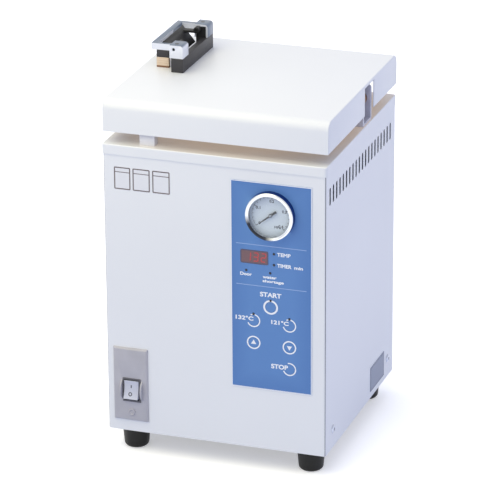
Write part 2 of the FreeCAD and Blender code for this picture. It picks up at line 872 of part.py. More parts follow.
def switch_plate():
    plate = box("plate_blank", ("(plate_middle - plate_width/2)", plate_front, "(foot_height + plate_bottom)"),
                ("plate_width", "plate_thickness", "plate_length"))
    level = -size("case_depth") / 2 - size("plate_thickness")
    face = bevelled("plate_face", plate, size("plate_bevel"), lambda edge: lies_at(edge, 1, level))
    # Each rib is the front of a disc whose rim rises by rib_rise over the rib's length
    rib_radius = "((rib_length*rib_length/4 + rib_rise*rib_rise)/(2*rib_rise))"
    ribs = []
    for side in ("-", "+"):
        left = f"(switch_middle {side} rib_spacing/2 - rib_thickness/2)"
        disc = cylinder("rib_disc", rib_radius, "rib_thickness",
                        (left, f"({plate_front} - rib_rise + {rib_radius})", "(foot_height + switch_height)"),
                        "x")
        keep = box("rib_keep",
                   (left, f"({plate_front} - rib_rise)", "(foot_height + switch_height - rib_length/2)"),
                   ("rib_thickness", "rib_rise + plate_thickness/2", "rib_length"))
        ribs.append(common("rib", disc, keep))
    piece(cut("switch_cover", fuse("plate_with_ribs", face, *ribs), switch_hole()), "switch_plate")


def rocker_frame():
    flange = box("frame_lip", ("(switch_middle - frame_width/2)", f"({plate_front} - frame_flange)",
                               "(foot_height + switch_height - frame_length/2)"),
                 ("frame_width", "frame_flange", "frame_length"))
    body = box("frame_body", ("(switch_middle - frame_width/2 + frame_flange)", plate_front,
                              "(foot_height + switch_height - frame_length/2 + frame_flange)"),
               ("frame_width - 2*frame_flange", "frame_depth", "frame_length - 2*frame_flange"))
    well = box("frame_well", ("(switch_middle - frame_width/2 + frame_flange + frame_wall)",
                              f"({plate_front} - 2*frame_flange)",
                              "(foot_height + switch_height - frame_length/2 + frame_flange + frame_wall)"),
               ("frame_width - 2*frame_flange - 2*frame_wall", "frame_depth + frame_flange",
                "frame_length - 2*frame_flange - 2*frame_wall"))
    pin = cylinder("frame_pin", "rocker_pin_radius", "frame_width - 2*frame_flange",
                   ("(switch_middle - frame_width/2 + frame_flange)", "(rocker_pivot_depth - case_depth/2)",
                    "(foot_height + switch_height)"), "x")
    hollow = cut("frame_hollow", fuse("frame_block", flange, body), well)
    piece(fuse("frame", hollow, pin), "rocker_frame")


def rocker():
    half = size("rocker_length") / 2
    reach = size("rocker_reach")
    middle = reach - size("rocker_hollow")
    width = size("rocker_width")
    front = Part.Arc(Vector(0, -reach, half), Vector(0, -middle, 0), Vector(0, -reach, -half)).toShape()
    above = [Vector(0, size("rocker_back"), half - size("rocker_taper")),
             Vector(0, -size("rocker_shoulder"), half - size("rocker_edge")), Vector(0, -reach, half)]
    below = [Vector(0, corner.y, -corner.z) for corner in reversed(above)]
    behind = below + above
    sides = [Part.LineSegment(a, b).toShape() for a, b in zip(behind, behind[1:])]
    block = extruded([front] + sides, Vector(width, 0, 0))
    bore = Part.makeCylinder(size("rocker_pin_radius") + size("pin_gap"), 2 * width,
                             Vector(-width / 2, 0, 0), Vector(1, 0, 0))
    where = Vector(size("switch_middle") - width / 2, size("rocker_pivot_depth") - size("case_depth") / 2,
                   size("foot_height") + size("switch_height"))
    turn = Rotation(Vector(1, 0, 0), -size("rocker_tilt"))
    piece(solid("rocker_block", block.cut(bore), Placement(where, turn)), "rocker")


def rating_plate():
    piece(box("rating", (right_face, "(rating_front - case_depth/2)", "(foot_height + rating_bottom)"),
              ("rating_thickness", "rating_width", "rating_length")), "rating_plate")


# Chamber, heater and outlet

def vessel():
    low = vessel_bottom
    tall = "(chamber_depth + vessel_floor - flange_thickness)"
    wall_out = cylinder("vessel_outer", "chamber_radius + vessel_wall", tall, ("0", "chamber_y", low))
    wall_in = cylinder("vessel_inner", "chamber_radius", "chamber_depth",
                       ("0", "chamber_y", f"({low} + vessel_floor)"))
    drain = cylinder("vessel_drain", "pipe_radius - pipe_wall", "4*vessel_floor",
                     ("0", "chamber_y", f"({low} - vessel_floor)"))
    port = cylinder("vessel_port", "gauge_pipe_radius/2", "4*vessel_floor",
                    ("panel_middle/2", "(chamber_y - port_offset)", f"({low} - vessel_floor)"))
    leads = [cylinder("lead_hole", "heater_pin_radius + fit", "4*vessel_floor", (x, y, f"({low} - vessel_floor)"))
             for x, y in heater_leads()]
    piece(cut("vessel", wall_out, wall_in, drain, port, *leads), "chamber_vessel")

    flange_low = f"({flange_top} - flange_thickness)"
    ring = cylinder("flange_disc", "flange_radius", "flange_thickness", ("0", "chamber_y", flange_low))
    hole = cylinder("flange_hole", "chamber_radius", "3*flange_thickness",
                    ("0", "chamber_y", f"({flange_low} - flange_thickness)"))
    piece(cut("flange", ring, hole), "chamber_flange")


def heater_leads():
    """Middle of each heater lead, on the heater's ring."""
    y = "(chamber_y - sqrt(heater_ring*heater_ring - heater_lead*heater_lead))"
    return [("-heater_lead", y), ("heater_lead", y)]


def vessel_jacket():
    low = f"({flange_top} - flange_thickness - jacket_drop - jacket_height)"
    outer = cylinder("jacket_outer", "chamber_radius + vessel_wall + jacket_thickness", "jacket_height",
                     ("0", "chamber_y", low))
    inner = cylinder("jacket_inner", "chamber_radius + vessel_wall", "2*jacket_height",
                     ("0", "chamber_y", f"({low} - jacket_height/2)"))
    piece(cut("jacket", outer, inner), "vessel_jacket")


def vessel_stand():
    low = f"({vessel_bottom} - stand_plate)"
    ring = cylinder("stand_disc", "chamber_radius + vessel_wall", "stand_plate", ("0", "chamber_y", low))
    hole = cylinder("stand_hole", "chamber_radius + vessel_wall - stand_ring", "3*stand_plate",
                    ("0", "chamber_y", f"({low} - stand_plate)"))
    gap = [cylinder("stand_lead_gap", "2*heater_radius", "3*stand_plate", (x, y, f"({low} - stand_plate)"))
           for x, y in heater_leads()]
    tray_top = "(foot_height + wall)"
    legs = [cylinder("stand_leg", "leg_radius", f"{low} - {tray_top}",
                     (f"{sx}leg_spread", f"(chamber_y {sy} leg_spread)", tray_top))
            for sx in ("-", "") for sy in ("-", "+")]
    piece(fuse("stand", cut("stand_plate_ring", ring, hole, *gap), *legs), "vessel_stand")


def heater():
    level = f"({vessel_bottom} + vessel_floor + heater_rise)"
    ring = doc.addObject("Part::Torus", "heater_loop")
    bind(ring, {"Radius1": "heater_ring", "Radius2": "heater_radius"})
    place(ring, ("0", "chamber_y", level))
    leads = [cylinder("heater_stub", "heater_pin_radius", "heater_rise + vessel_floor + heater_tail",
                      (x, y, f"({vessel_bottom} - heater_tail)")) for x, y in heater_leads()]
    piece(fuse("heater_tube", ring, *leads), "heater_element")


def water_grid():
    level = f"({vessel_bottom} + vessel_floor + grid_rise)"
    disc = cylinder("grid_disc", "chamber_radius - opening_gap", "grid_thickness", ("0", "chamber_y", level))
    holes = []
    for ring in ("inner", "outer"):
        count = int(size(f"grid_{ring}_count"))
        radius = f"(chamber_radius*grid_{ring}_share)"
        for n in range(count):
            turn = 360 / count * n
            holes.append(cylinder("grid_bore", "grid_hole", "4*grid_thickness",
                                  (f"({radius}*cos({turn}))", f"(chamber_y + {radius}*sin({turn}))",
                                   f"({level} - grid_thickness)")))
    spread = "(chamber_radius - grid_post_inset)"
    posts = [cylinder("grid_leg", "grid_post", "grid_rise",
                      (f"({spread}*cos({turn}))", f"(chamber_y + {spread}*sin({turn}))",
                       f"({vessel_bottom} + vessel_floor)")) for turn in (30, 150, 270)]
    piece(fuse("grid", cut("grid_sheet", disc, *holes), *posts), "water_grid")


def steam_outlet():
    bottom = size(vessel_bottom)
    y = size("chamber_y")
    level = bottom - size("pipe_drop")
    points = [Vector(0, y, bottom), Vector(0, y, level), Vector(0, size("valve_front"), level)]
    line = bent_pipe(points, size("pipe_bend"), size("pipe_radius"), size("pipe_radius") - size("pipe_wall"))
    piece(solid("outlet_line", line), "steam_pipe")

    z = f"({vessel_bottom} - pipe_drop)"
    body = box("valve_block", ("-valve_width/2", "valve_front", f"({z} - valve_height/2)"),
               ("valve_width", "valve_depth", "valve_height"))
    coil = cylinder("valve_coil", "coil_radius", "coil_height",
                    ("0", "(valve_front + valve_depth/2)", f"({z} - valve_height/2 - coil_height)"))
    start = "(valve_front + valve_depth)"
    shoulder = f"({back_face} + outlet_reach - outlet_spigot)"
    neck = cylinder("nozzle_neck", "outlet_neck", f"{shoulder} - {start}", ("0", start, z), "y")
    spigot = cylinder("nozzle_spigot", "outlet_radius", "outlet_spigot", ("0", shoulder, z), "y")
    bore = cylinder("nozzle_bore", "outlet_bore", "case_depth", ("0", start, z), "y")
    piece(cut("valve", fuse("valve_body", body, coil, neck, spigot), bore), "steam_valve")


def mains_inlet():
    z = "(foot_height + inlet_height)"
    flange = box("inlet_lip", ("(inlet_middle - inlet_width/2)", back_face, f"({z} - inlet_length/2)"),
                 ("inlet_width", "inlet_flange", "inlet_length"))
    body = box("inlet_body", ("(inlet_middle - inlet_width/2 + inlet_flange)", f"({back_face} - inlet_depth)",
                              f"({z} - inlet_length/2 + inlet_flange)"),
               ("inlet_width - 2*inlet_flange", "inlet_depth", "inlet_length - 2*inlet_flange"))
    well = box("inlet_well", ("(inlet_middle - socket_width/2)", f"({back_face} + inlet_flange - socket_depth)",
                              f"({z} - socket_length/2)"),
               ("socket_width", "2*socket_depth", "socket_length"))
    blades = [box("inlet_blade", (f"(inlet_middle + {n}*blade_pitch - blade_thickness/2)",
                                  f"({back_face} - socket_depth)", f"({z} {sign} blade_offset - blade_width/2)"),
                  ("blade_thickness", "socket_depth - inlet_flange", "blade_width"))
              for n, sign in ((-1, "-"), (0, "+"), (1, "-"))]
    piece(fuse("inlet", cut("inlet_shell", fuse("inlet_block", flange, body), well), *blades), "mains_inlet")


# Hinge, strike and door sensor on the top cover

def hinge_bracket():
    inner = "(yoke_width/2 + ear_gap)"
    outer = "(yoke_width/2 + ear_gap + ear_thickness)"
    foot = box("hinge_foot_plate", ("(hinge_x + ear_reach - hinge_foot)",
                                    f"(mechanism_y - {outer})", case_top),
               ("hinge_foot", f"2*{outer}", "foot_plate"))
    parts = [foot]
    ear_level = size(hinge_z) + size("ear_rise")
    for near in (f"(mechanism_y - {outer})", f"(mechanism_y + {inner})"):
        ear = box("hinge_ear", ("(hinge_x - ear_radius)", near, case_top),
                  ("ear_radius + ear_reach", "ear_thickness", "hinge_rise + ear_rise"))
        parts.append(rounded("hinge_ear_top", ear, size("ear_rounding"),
                             lambda edge: runs_along(edge, 1) and lies_at(edge, 2, ear_level)))
    bore = cylinder("hinge_bore", "hinge_pin_radius + pin_gap", "3*yoke_width",
                    ("hinge_x", "(mechanism_y - 1.5*yoke_width)", hinge_z), "y")
    piece(cut("hinge_stand", fuse("hinge_body", *parts), bore), "hinge_bracket")

    start = f"(mechanism_y - {outer})"
    shaft = cylinder("pin_shaft", "hinge_pin_radius", f"2*{outer} + hinge_head",
                     ("hinge_x", start, hinge_z), "y")
    head = cylinder("pin_head", "hinge_head_radius", "hinge_head",
                    ("hinge_x", f"({start} - hinge_head)", hinge_z), "y")
    piece(fuse("pin_of_hinge", shaft, head), "hinge_pin")


def strike():
    half = "(hook_thickness/2 + strike_side_gap + strike_ear)"
    foot = box("strike_base", ("(strike_x - strike_ear_width/2)", "(mechanism_y - strike_foot_depth/2)", case_top),
               ("strike_ear_width", "strike_foot_depth", "strike_plate"))
    bar_z = f"({case_top} + strike_height)"
    ears = []
    for near in (f"(mechanism_y - {half})", f"(mechanism_y + {half} - strike_ear)"):
        ears.append(box("strike_side", ("(strike_x - strike_ear_width/2)", near, case_top),
                        ("strike_ear_width", "strike_ear", "strike_height")))
        ears.append(cylinder("strike_top", "strike_ear_width/2", "strike_ear", ("strike_x", near, bar_z), "y"))
    bar = cylinder("strike_bar", "strike_radius", f"2*{half}", ("strike_x", f"(mechanism_y - {half})", bar_z), "y")
    piece(fuse("strike_body", foot, bar, *ears), "strike")


def door_sensor():
    block = box("sensor_block", ("(sensor_left - case_width/2)", "(sensor_front - case_depth/2)", case_top),
                ("sensor_width", "sensor_depth", "sensor_height"))
    piece(rounded("sensor", block, size("sensor_rounding"), lambda edge: runs_along(edge, 2)), "door_sensor")


# Lid

def lid_cover():
    left = "(lid_shift_x - lid_width/2)"
    front = "(lid_shift_y - lid_depth/2)"
    outer = box("lid_outer", (left, front, lid_bottom), ("lid_width", "lid_depth", "lid_height"))
    level = size("foot_height") + size("case_height") + size("lid_gap") + size("lid_height")
    shaped = rounded("lid_shaped", outer, size("lid_rounding"),
                     lambda edge: runs_along(edge, 0) and lies_at(edge, 2, level))
    inner = box("lid_inner", (f"({left} + lid_wall)", f"({front} + lid_wall)", f"({lid_bottom} - lid_wall)"),
                ("lid_width - 2*lid_wall", "lid_depth - 2*lid_wall", "lid_height"))
    hollow = rounded("lid_hollow", inner, size("lid_rounding") - size("lid_wall"),
                     lambda edge: runs_along(edge, 0) and lies_at(edge, 2, level - size("lid_wall")))
    notch = box("lid_notch", ("(lid_shift_x + lid_width/2 - 2*lid_wall)", "(mechanism_y - notch_width/2)",
                              f"({lid_bottom} - lid_wall)"),
                ("4*lid_wall", "notch_width", "notch_height + lid_wall"))
    piece(cut("lid_shell", shaped, hollow, notch), "lid_cover")


def lid_yoke():
    near = "(mechanism_y - yoke_width/2)"
    bar = box("yoke_bar", ("hook_pin_x", near, f"({hinge_z} - yoke_height/2)"),
              ("hinge_x - hook_pin_x", "yoke_width", "yoke_height"))
    knuckle = cylinder("yoke_knuckle", "ear_radius", "yoke_width", ("hinge_x", near, hinge_z), "y")
    tip = cylinder("yoke_tip", "fork_radius", "yoke_width", ("hook_pin_x", near, hinge_z), "y")
    hinge_bore = cylinder("yoke_bore", "hinge_pin_radius + pin_gap", "3*yoke_width",
                          ("hinge_x", "(mechanism_y - 1.5*yoke_width)", hinge_z), "y")
    bolt_bore = cylinder("yoke_bolt_bore", "bolt_radius + fit", "3*yoke_height",
                         ("0", "chamber_y", f"({hinge_z} - 1.5*yoke_height)"))
    slot = box("yoke_slot", ("(hook_pin_x - 2*fork_radius)", "(mechanism_y - hook_thickness/2 - hook_side_gap)",
                             f"({hinge_z} - yoke_height)"),
               ("4*fork_radius", "hook_thickness + 2*hook_side_gap", "2*yoke_height"))
    bar_cut = cut("yoke_cut", fuse("yoke_body", bar, knuckle, tip), hinge_bore, bolt_bore, slot)
    pin = cylinder("hook_pin", "hook_pin_radius", "yoke_width", ("hook_pin_x", near, hinge_z), "y")
    piece(fuse("yoke", bar_cut, pin), "lid_yoke")

    spacer_low = f"({hinge_z} + yoke_height/2)"
    spacers = [cylinder("spacer", "spacer_radius", f"{lid_top} - lid_wall - {spacer_low}",
                        (f"{sx}spacer_x", f"(mechanism_y {sy} spacer_y)", spacer_low))
               for sx in ("-", "") for sy in ("-", "+")]
    piece(group("spacer_set", spacers), "cover_spacers")


def pressure_lid():
    seal_low = f"({flange_top} + seat_gap)"
    seal = cylinder("seal_disc", "gasket_radius", "gasket_thickness", ("0", "chamber_y", seal_low))
    seal_hole = cylinder("seal_hole", "gasket_radius - gasket_width", "3*gasket_thickness",
                         ("0", "chamber_y", f"({seal_low} - gasket_thickness)"))
    piece(cut("seal", seal, seal_hole), "lid_gasket")

    press_low = f"({seal_low} + gasket_thickness)"
    piece(cylinder("press_plate", "press_radius", "press_thickness", ("0", "chamber_y", press_low)),
          "pressure_lid")

    boss_low = f"({press_low} + press_thickness)"
    yoke_low = f"({hinge_z} - yoke_height/2)"
    yoke_high = f"({hinge_z} + yoke_height/2)"
    boss = cylinder("bolt_collar", "bolt_boss", f"{yoke_low} - {boss_low}", ("0", "chamber_y", boss_low))
    stem = cylinder("bolt_stem", "bolt_radius", "yoke_height", ("0", "chamber_y", yoke_low))
    head = cylinder("bolt_cap", "bolt_head", "bolt_head_height", ("0", "chamber_y", yoke_high))
    piece(fuse("bolt", boss, stem, head), "centre_bolt")


# Latch on the lid

def cap_ends():
    """Front of each end cap and of its outer wall."""
    return [("latch_front", "latch_front"), (f"({latch_back} - cap_length)", f"({latch_back} - cap_wall)")]


def latch_base():
    full_bar = box("base_bar", (latch_left, "latch_front", lid_top),
                   ("latch_width", "latch_length", "latch_height"))
    waist = box("base_waist", (f"({latch_left} - overcut)", "(latch_front + cap_length)", lid_top),
                ("latch_width - latch_waist + overcut", "latch_length - 2*cap_length", "latch_height"))
    piece(cut("base_of_latch", full_bar, waist), "latch_base")


def handle():
    left = f"({latch_left} - cap_overlap)"
    width = f"({latch_right} - {left})"
    parts = []
    hollows = []
    bores = []
    for start, outer_wall in cap_ends():
        cap = box("cap_block", (left, start, latch_top), (width, "cap_length", "cap_height"))
        top_level = (size("foot_height") + size("case_height") + size("lid_gap") + size("lid_height")
                     + size("latch_height") + size("cap_height"))
        right_level = size("latch_x") + size("latch_width") / 2
        parts.append(rounded("cap", cap, size("cap_rounding"), lambda edge: runs_along(edge, 1)
                             and lies_at(edge, 2, top_level) and lies_at(edge, 0, right_level)))
        inside = "latch_front + cap_wall" if start == "latch_front" else f"{start} - overcut"
        hollows.append(box("cap_hollow", (f"({left} + cap_wall)", f"({inside})", f"({latch_top} - overcut)"),
                           (f"{width} - 2*cap_wall", "cap_length - cap_wall + overcut",
                            "cap_height - cap_wall + overcut")))
        bores.append(cylinder("cap_bore", "paddle_pin_radius", "3*cap_wall",
                              ("paddle_pin_x", f"({outer_wall} - cap_wall)", paddle_pin_z), "y"))
    arm_left = f"({left} - handle_reach)"
    arm_low = f"({latch_top} + cap_height - handle_height - handle_drop)"
    span = f"({left} + cap_wall/2 - {arm_left})"
    for start in (arm_front, f"({latch_back} - handle_arm)"):
        parts.append(box("handle_arm_bar", (arm_left, start, arm_low), (span, "handle_arm", "handle_height")))
    parts.append(box("grip_bar", (arm_left, arm_front, arm_low),
                     ("handle_bar", f"{latch_back} - {arm_front}", "handle_height")))
    piece(cut("handle_body", fuse("handle_form", *parts), *hollows, *bores), "handle")


def pivot_blocks():
    left = f"({latch_left} - cap_overlap + cap_wall)"
    width = f"({latch_right} - {latch_left} + cap_overlap - 2*cap_wall)"
    blocks = []
    for n, (start, outer_wall) in enumerate(cap_ends()):
        near = "(latch_front + cap_wall)" if n == 0 else start
        block = box("pivot_body", (left, near, latch_top),
                    (width, "cap_length - cap_wall", "cap_height - cap_wall"))
        bore = cylinder("pivot_bore", "paddle_pin_radius", "2*cap_length",
                        ("paddle_pin_x", f"({near} - cap_length/2)", paddle_pin_z), "y")
        blocks.append(cut("pivot_block", block, bore))
    piece(group("pivot_set", blocks), "pivot_blocks")

    reach = "(cap_length + knuckle_length + paddle_pin_end - cap_wall/2)"
    pins = [cylinder("paddle_pin", "paddle_pin_radius", reach, ("paddle_pin_x", start, paddle_pin_z), "y")
            for start in ("(latch_front + cap_wall/2)", f"({latch_back} - cap_wall/2 - {reach})")]
    piece(group("pin_set", pins), "paddle_pins")


def paddle():
    """Squeeze plate: it slopes down from the grip and hangs on two knuckles."""
    pin_x = size("paddle_pin_x")
    pin_z = (size("foot_height") + size("case_height") + size("lid_gap") + size("lid_height")
             + size("latch_height") + size("paddle_pin_height"))
    thick = size("paddle_thickness")
    first = size("latch_front") + size("cap_length") + size("paddle_end_gap")
    last = size("latch_front") + size("latch_length") - size("cap_length") - size("paddle_end_gap")
    top = Vector(size("paddle_left"), first, pin_z + size("paddle_rise"))
    foot = Vector(size("paddle_right"), first, pin_z - size("paddle_drop"))
    across = (foot - top).normalize().cross(Vector(0, 1, 0)) * thick
    blade = extruded(polygon([top, foot, foot + across, top + across]), Vector(0, last - first, 0))
    web_low = pin_z - 2 * size("paddle_pin_radius")
    web_left = size("paddle_left") + size("web_inset")
    length = size("knuckle_length")
    along = Vector(0, 1, 0)
    shape = blade
    bores = []
    for start in (first, last - length):
        centre = Vector(pin_x, start, pin_z)
        boss = Part.makeCylinder(size("knuckle_radius"), length, centre, along)
        web = Part.makeBox(pin_x - web_left, length, size("web_thickness"), Vector(web_left, start, web_low))
        shape = shape.fuse([boss, web])
        bores.append(Part.makeCylinder(size("paddle_pin_radius") + size("pin_gap"), 3 * length,
                                       centre - along * length, along))
    piece(solid("paddle_plate", shape.cut(bores).removeSplitter()), "paddle")


def latch_shoe():
    piece(box("shoe", ("shoe_left", arm_front, lid_top), ("shoe_width", "handle_arm", "shoe_height")),
          "latch_shoe")
    low = f"({lid_top} + shoe_height)"
    high = f"({latch_top} + cap_height - handle_height - handle_drop)"
    piece(box("shoe_cushion", ("shoe_left", arm_front, low),
              ("shoe_width", "handle_arm", f"{high} - {low}")), "shoe_pad")


def lock_hook():
    """Plate that hangs on the yoke's pin, with a nose below the strike's bar."""
    thick = size("hook_thickness")
    boss = size("hook_boss")
    pin_x = size("hook_pin_x")
    pin_z = size("foot_height") + size("case_height") + size("hinge_rise")
    bar_z = size("foot_height") + size("case_height") + size("strike_height")
    near = size("mechanism_y") - thick / 2
    nose_top = bar_z - size("strike_radius") - size("seat_gap")
    nose_low = nose_top - size("hook_nose")
    shank_left = pin_x - size("hook_shank")
    shank_right = pin_x + size("hook_inner_side")
    tip = size("strike_x") + size("hook_nose_reach")
    corners = [(shank_left, pin_z), (shank_left, nose_low), (tip, nose_low), (tip, nose_top),
               (shank_right, nose_top), (shank_right, pin_z)]
    plate = extruded(polygon([Vector(x, near, z) for x, z in corners]), Vector(0, thick, 0))
    eye = Part.makeCylinder(boss, thick, Vector(pin_x, near, pin_z), Vector(0, 1, 0))
    bore = Part.makeCylinder(size("hook_pin_radius") + size("pin_gap"), 3 * thick,
                             Vector(pin_x, near - thick, pin_z), Vector(0, 1, 0))
    piece(solid("hook_plate", plate.fuse(eye).cut(bore).removeSplitter()), "lock_hook")


for x, y, where in foot_places:
    rubber_foot(x, y, where)
piece(group("foot_screw_set", [foot_screw(x, y) for x, y, where in foot_places]), "foot_screws")
base_tray()
case_shell()
rear_panel()
top_cover()
case_screws()
control_film()
display_window()
indicator_lamps()
keys()
control_board()
gauge()
gauge_pipe()
switch_plate()
rocker_frame()
rocker()
rating_plate()
vessel()
vessel_jacket()
vessel_stand()
heater()
water_grid()
steam_outlet()
mains_inlet()
hinge_bracket()
strike()
door_sensor()
lid_cover()
lid_yoke()
pressure_lid()
latch_base()
handle()
pivot_blocks()
paddle()
latch_shoe()
lock_hook()
doc.recompute()

for item in doc.Objects:
    if "Invalid" in item.State or "Error" in item.State:
        raise RuntimeError(f"{item.Label} failed: {item.State}")
for item in pieces:
    if item.Shape.isNull() or not item.Shape.isValid() or not item.Shape.Solids:
        raise RuntimeError(f"{item.Label} has no valid shape")

os.makedirs("parts", exist_ok=True)
for item in pieces:
    item.Shape.exportStep(f"parts/{item.Label}.step")
    spans = ["{:.1f} to {:.1f}".format(*ends_along(item.Shape, axis)) for axis in range(3)]
    print(f"{item.Label}: {len(item.Shape.Solids)} solids, {item.Shape.Volume:.0f} mm3, "
          f"x {spans[0]}, y {spans[1]}, z {spans[2]}")
print(len(pieces), "pieces")
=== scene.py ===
import json
import math

import bmesh
import bpy
from mathutils import Matrix, Vector
from mathutils.bvhtree import BVHTree


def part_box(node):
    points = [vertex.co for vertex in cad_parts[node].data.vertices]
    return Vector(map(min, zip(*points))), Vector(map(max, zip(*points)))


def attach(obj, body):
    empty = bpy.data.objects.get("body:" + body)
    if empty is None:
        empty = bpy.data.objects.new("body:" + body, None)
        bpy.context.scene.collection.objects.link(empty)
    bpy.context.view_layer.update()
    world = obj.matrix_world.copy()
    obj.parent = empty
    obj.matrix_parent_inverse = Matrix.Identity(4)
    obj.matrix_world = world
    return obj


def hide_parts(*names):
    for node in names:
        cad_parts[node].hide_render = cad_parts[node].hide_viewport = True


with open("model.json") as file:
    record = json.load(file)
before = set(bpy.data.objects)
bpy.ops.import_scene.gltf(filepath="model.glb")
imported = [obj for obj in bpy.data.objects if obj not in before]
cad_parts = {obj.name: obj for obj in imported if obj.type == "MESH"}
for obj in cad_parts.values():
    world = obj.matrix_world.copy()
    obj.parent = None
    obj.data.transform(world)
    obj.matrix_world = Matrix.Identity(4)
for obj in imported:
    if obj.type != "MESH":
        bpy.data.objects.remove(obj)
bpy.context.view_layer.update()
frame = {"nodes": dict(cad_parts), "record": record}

# The bench autoclave's looks. Lengths in the dictionaries are millimetres in the CAD frame, but
# heights start at the case's bottom. Colours are red, green and blue from 0 to 255 on a screen.
nodes = frame["nodes"]
bodyOf = {node: body for body, members in frame["record"]["behaviour"]["bodies"].items() for node in members}
mm = 0.001
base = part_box("case_shell")[0].z / mm  # the case's bottom above the bench
print("model loaded:", len(nodes), "nodes")


# Shader sums and materials

class Wire:
    # output of a node; sums on it add Math nodes
    def __init__(self, look, socket):
        self.look = look
        self.socket = socket

    def maths(self, operation, *values):
        return self.look.add("Math", {"operation": operation}, dict(enumerate(values)))

    def __add__(self, other):
        return self.maths("ADD", self, other)

    def __sub__(self, other):
        return self.maths("SUBTRACT", self, other)

    def __rsub__(self, other):
        return self.maths("SUBTRACT", other, self)

    def __mul__(self, other):
        return self.maths("MULTIPLY", self, other)

    def __truediv__(self, other):
        return self.maths("DIVIDE", self, other)

    def __lt__(self, other):
        return self.maths("LESS_THAN", self, other)

    def __gt__(self, other):
        return self.maths("GREATER_THAN", self, other)

    def __abs__(self):
        return self.maths("ABSOLUTE", self)

    def atLeast(self, other):
        return self.maths("MAXIMUM", self, other)

    def atMost(self, other):
        return self.maths("MINIMUM", self, other)

    def root(self):
        return self.maths("SQRT", self)

    __radd__ = __add__
    __rmul__ = __mul__


def screen(colour):
    # a screen colour from 0 to 255 in the shader's own values
    return tuple(((v / 255 + 0.055) / 1.055) ** 2.4 for v in colour) + (1,)


class Look:
    # one finish: its material, its main shader and the nodes that feed it
    def __init__(self, name, fixed):
        self.material = bpy.data.materials.new(name)
        self.material.use_nodes = True
        self.tree = self.material.node_tree
        self.shader = self.tree.nodes["Principled BSDF"]
        for socket, value in fixed.items():
            self.shader.inputs[socket].default_value = value
        self.place = self.add("TexCoord", {}, {}, "Object")

    def add(self, kind, settings, inputs, output=0):
        made = self.tree.nodes.new("ShaderNode" + kind)
        for key, value in settings.items():
            if key == "stops":
                ramp = made.color_ramp.elements
                for number, (at, colour) in enumerate(value):
                    stop = ramp[number] if number < 2 else ramp.new(at)
                    stop.position = at
                    stop.color = screen(colour)
            else:
                setattr(made, key, value)
        for key, value in inputs.items():
            if isinstance(value, Wire):
                self.tree.links.new(value.socket, made.inputs[key])
            else:
                made.inputs[key].default_value = value
        return Wire(self, made.outputs[output])

    def feed(self, socket, wire):
        self.tree.links.new(wire.socket, self.shader.inputs[socket])
        return self

    def cloud(self, size, stretch=(1, 1, 1), detail=2):
        # soft noise with marks about size millimetres across
        at = self.add("Mapping", {}, {"Vector": self.place, "Scale": stretch})
        return self.add("TexNoise", {}, {"Vector": at, "Scale": 1000 / size, "Detail": detail})

    def cells(self, size):
        return self.add("TexVoronoi", {}, {"Vector": self.place, "Scale": 1000 / size})

    def between(self, amount, first, second):
        return self.add("Mix", {"data_type": "RGBA"}, {0: amount, 6: first, 7: second}, 2)

    def along(self, axis):
        return self.add("SeparateXYZ", {}, {0: self.place}, axis)

    def height(self):
        # millimetres above the case's bottom
        return self.along("Z") * 1000 - base

    def facing(self, axis):
        # how far the surface turns towards an axis
        return self.add("SeparateXYZ", {}, {0: self.add("TexCoord", {}, {}, "Normal")}, axis)

    def seen(self):
        # 1 for what the camera sees, straight or in gloss and glass
        rays = ("Camera", "Glossy", "Transmission")
        paths = [self.add("LightPath", {}, {}, f"Is {kind} Ray") for kind in rays]
        return paths[0].atLeast(paths[1]).atLeast(paths[2])

    def relief(self, height, depth):
        # raises the surface by up to depth millimetres
        return self.feed("Normal", self.add("Bump", {}, {"Height": height, "Distance": depth * mm}))

    def rough(self, size, smooth, coarse):
        # roughness that drifts between two values
        return self.feed("Roughness", self.cloud(size) * (coarse - smooth) + smooth)

    def skin(self, values):
        # the drifting roughness and the fine relief that many finishes end with
        size, depth = values["relief"]
        return self.rough(*values["rough"]).relief(self.cloud(size), depth)

    def offset(self, axis, at):
        # millimetres from a place on an axis
        return (self.height() if axis == "Z" else self.along(axis) * 1000) - at

    def insideField(self, axes, middle, half, corner):
        # distance in millimetres inward from the edge of a rounded field
        over = []
        for axis, at, reach in zip(axes, middle, half):
            over.append(abs(self.offset(axis, at)) - (reach - corner))
        first, second = (value.atLeast(0) for value in over)
        outside = (first * first + second * second).root()
        inside = over[0].atLeast(over[1]).atMost(0)
        return corner - outside - inside


toneStops = (0.3, 0.7)  # levels of the noise where a finish is darkest and palest
fineDetail = 3
levelFace = 0.9  # least upward part of a level face's normal


def finish(name, values):
    # a base colour that drifts, a roughness that drifts, and a fine relief
    look = Look(name, {"Metallic": values.get("metal", 0), "Specular IOR Level": values.get("specular", 0.5)})
    stretch = values.get("stretch", (1, 1, 1))
    drift = look.cloud(values["drift"], stretch)
    fine = look.cloud(values["grain"], stretch, fineDetail)
    low = [v * (1 - values["shade"]) for v in values["colour"]]
    high = [min(v * (1 + values["shade"] / 2), 255) for v in values["colour"]]
    tone = look.add("ValToRGB", {"stops": list(zip(toneStops, (low, high)))}, {0: drift})
    smooth, coarse = values["rough"]
    look.feed("Base Color", tone)
    look.feed("Roughness", fine * (coarse - smooth) + smooth)
    look.relief(fine, values["depth"])
    return look


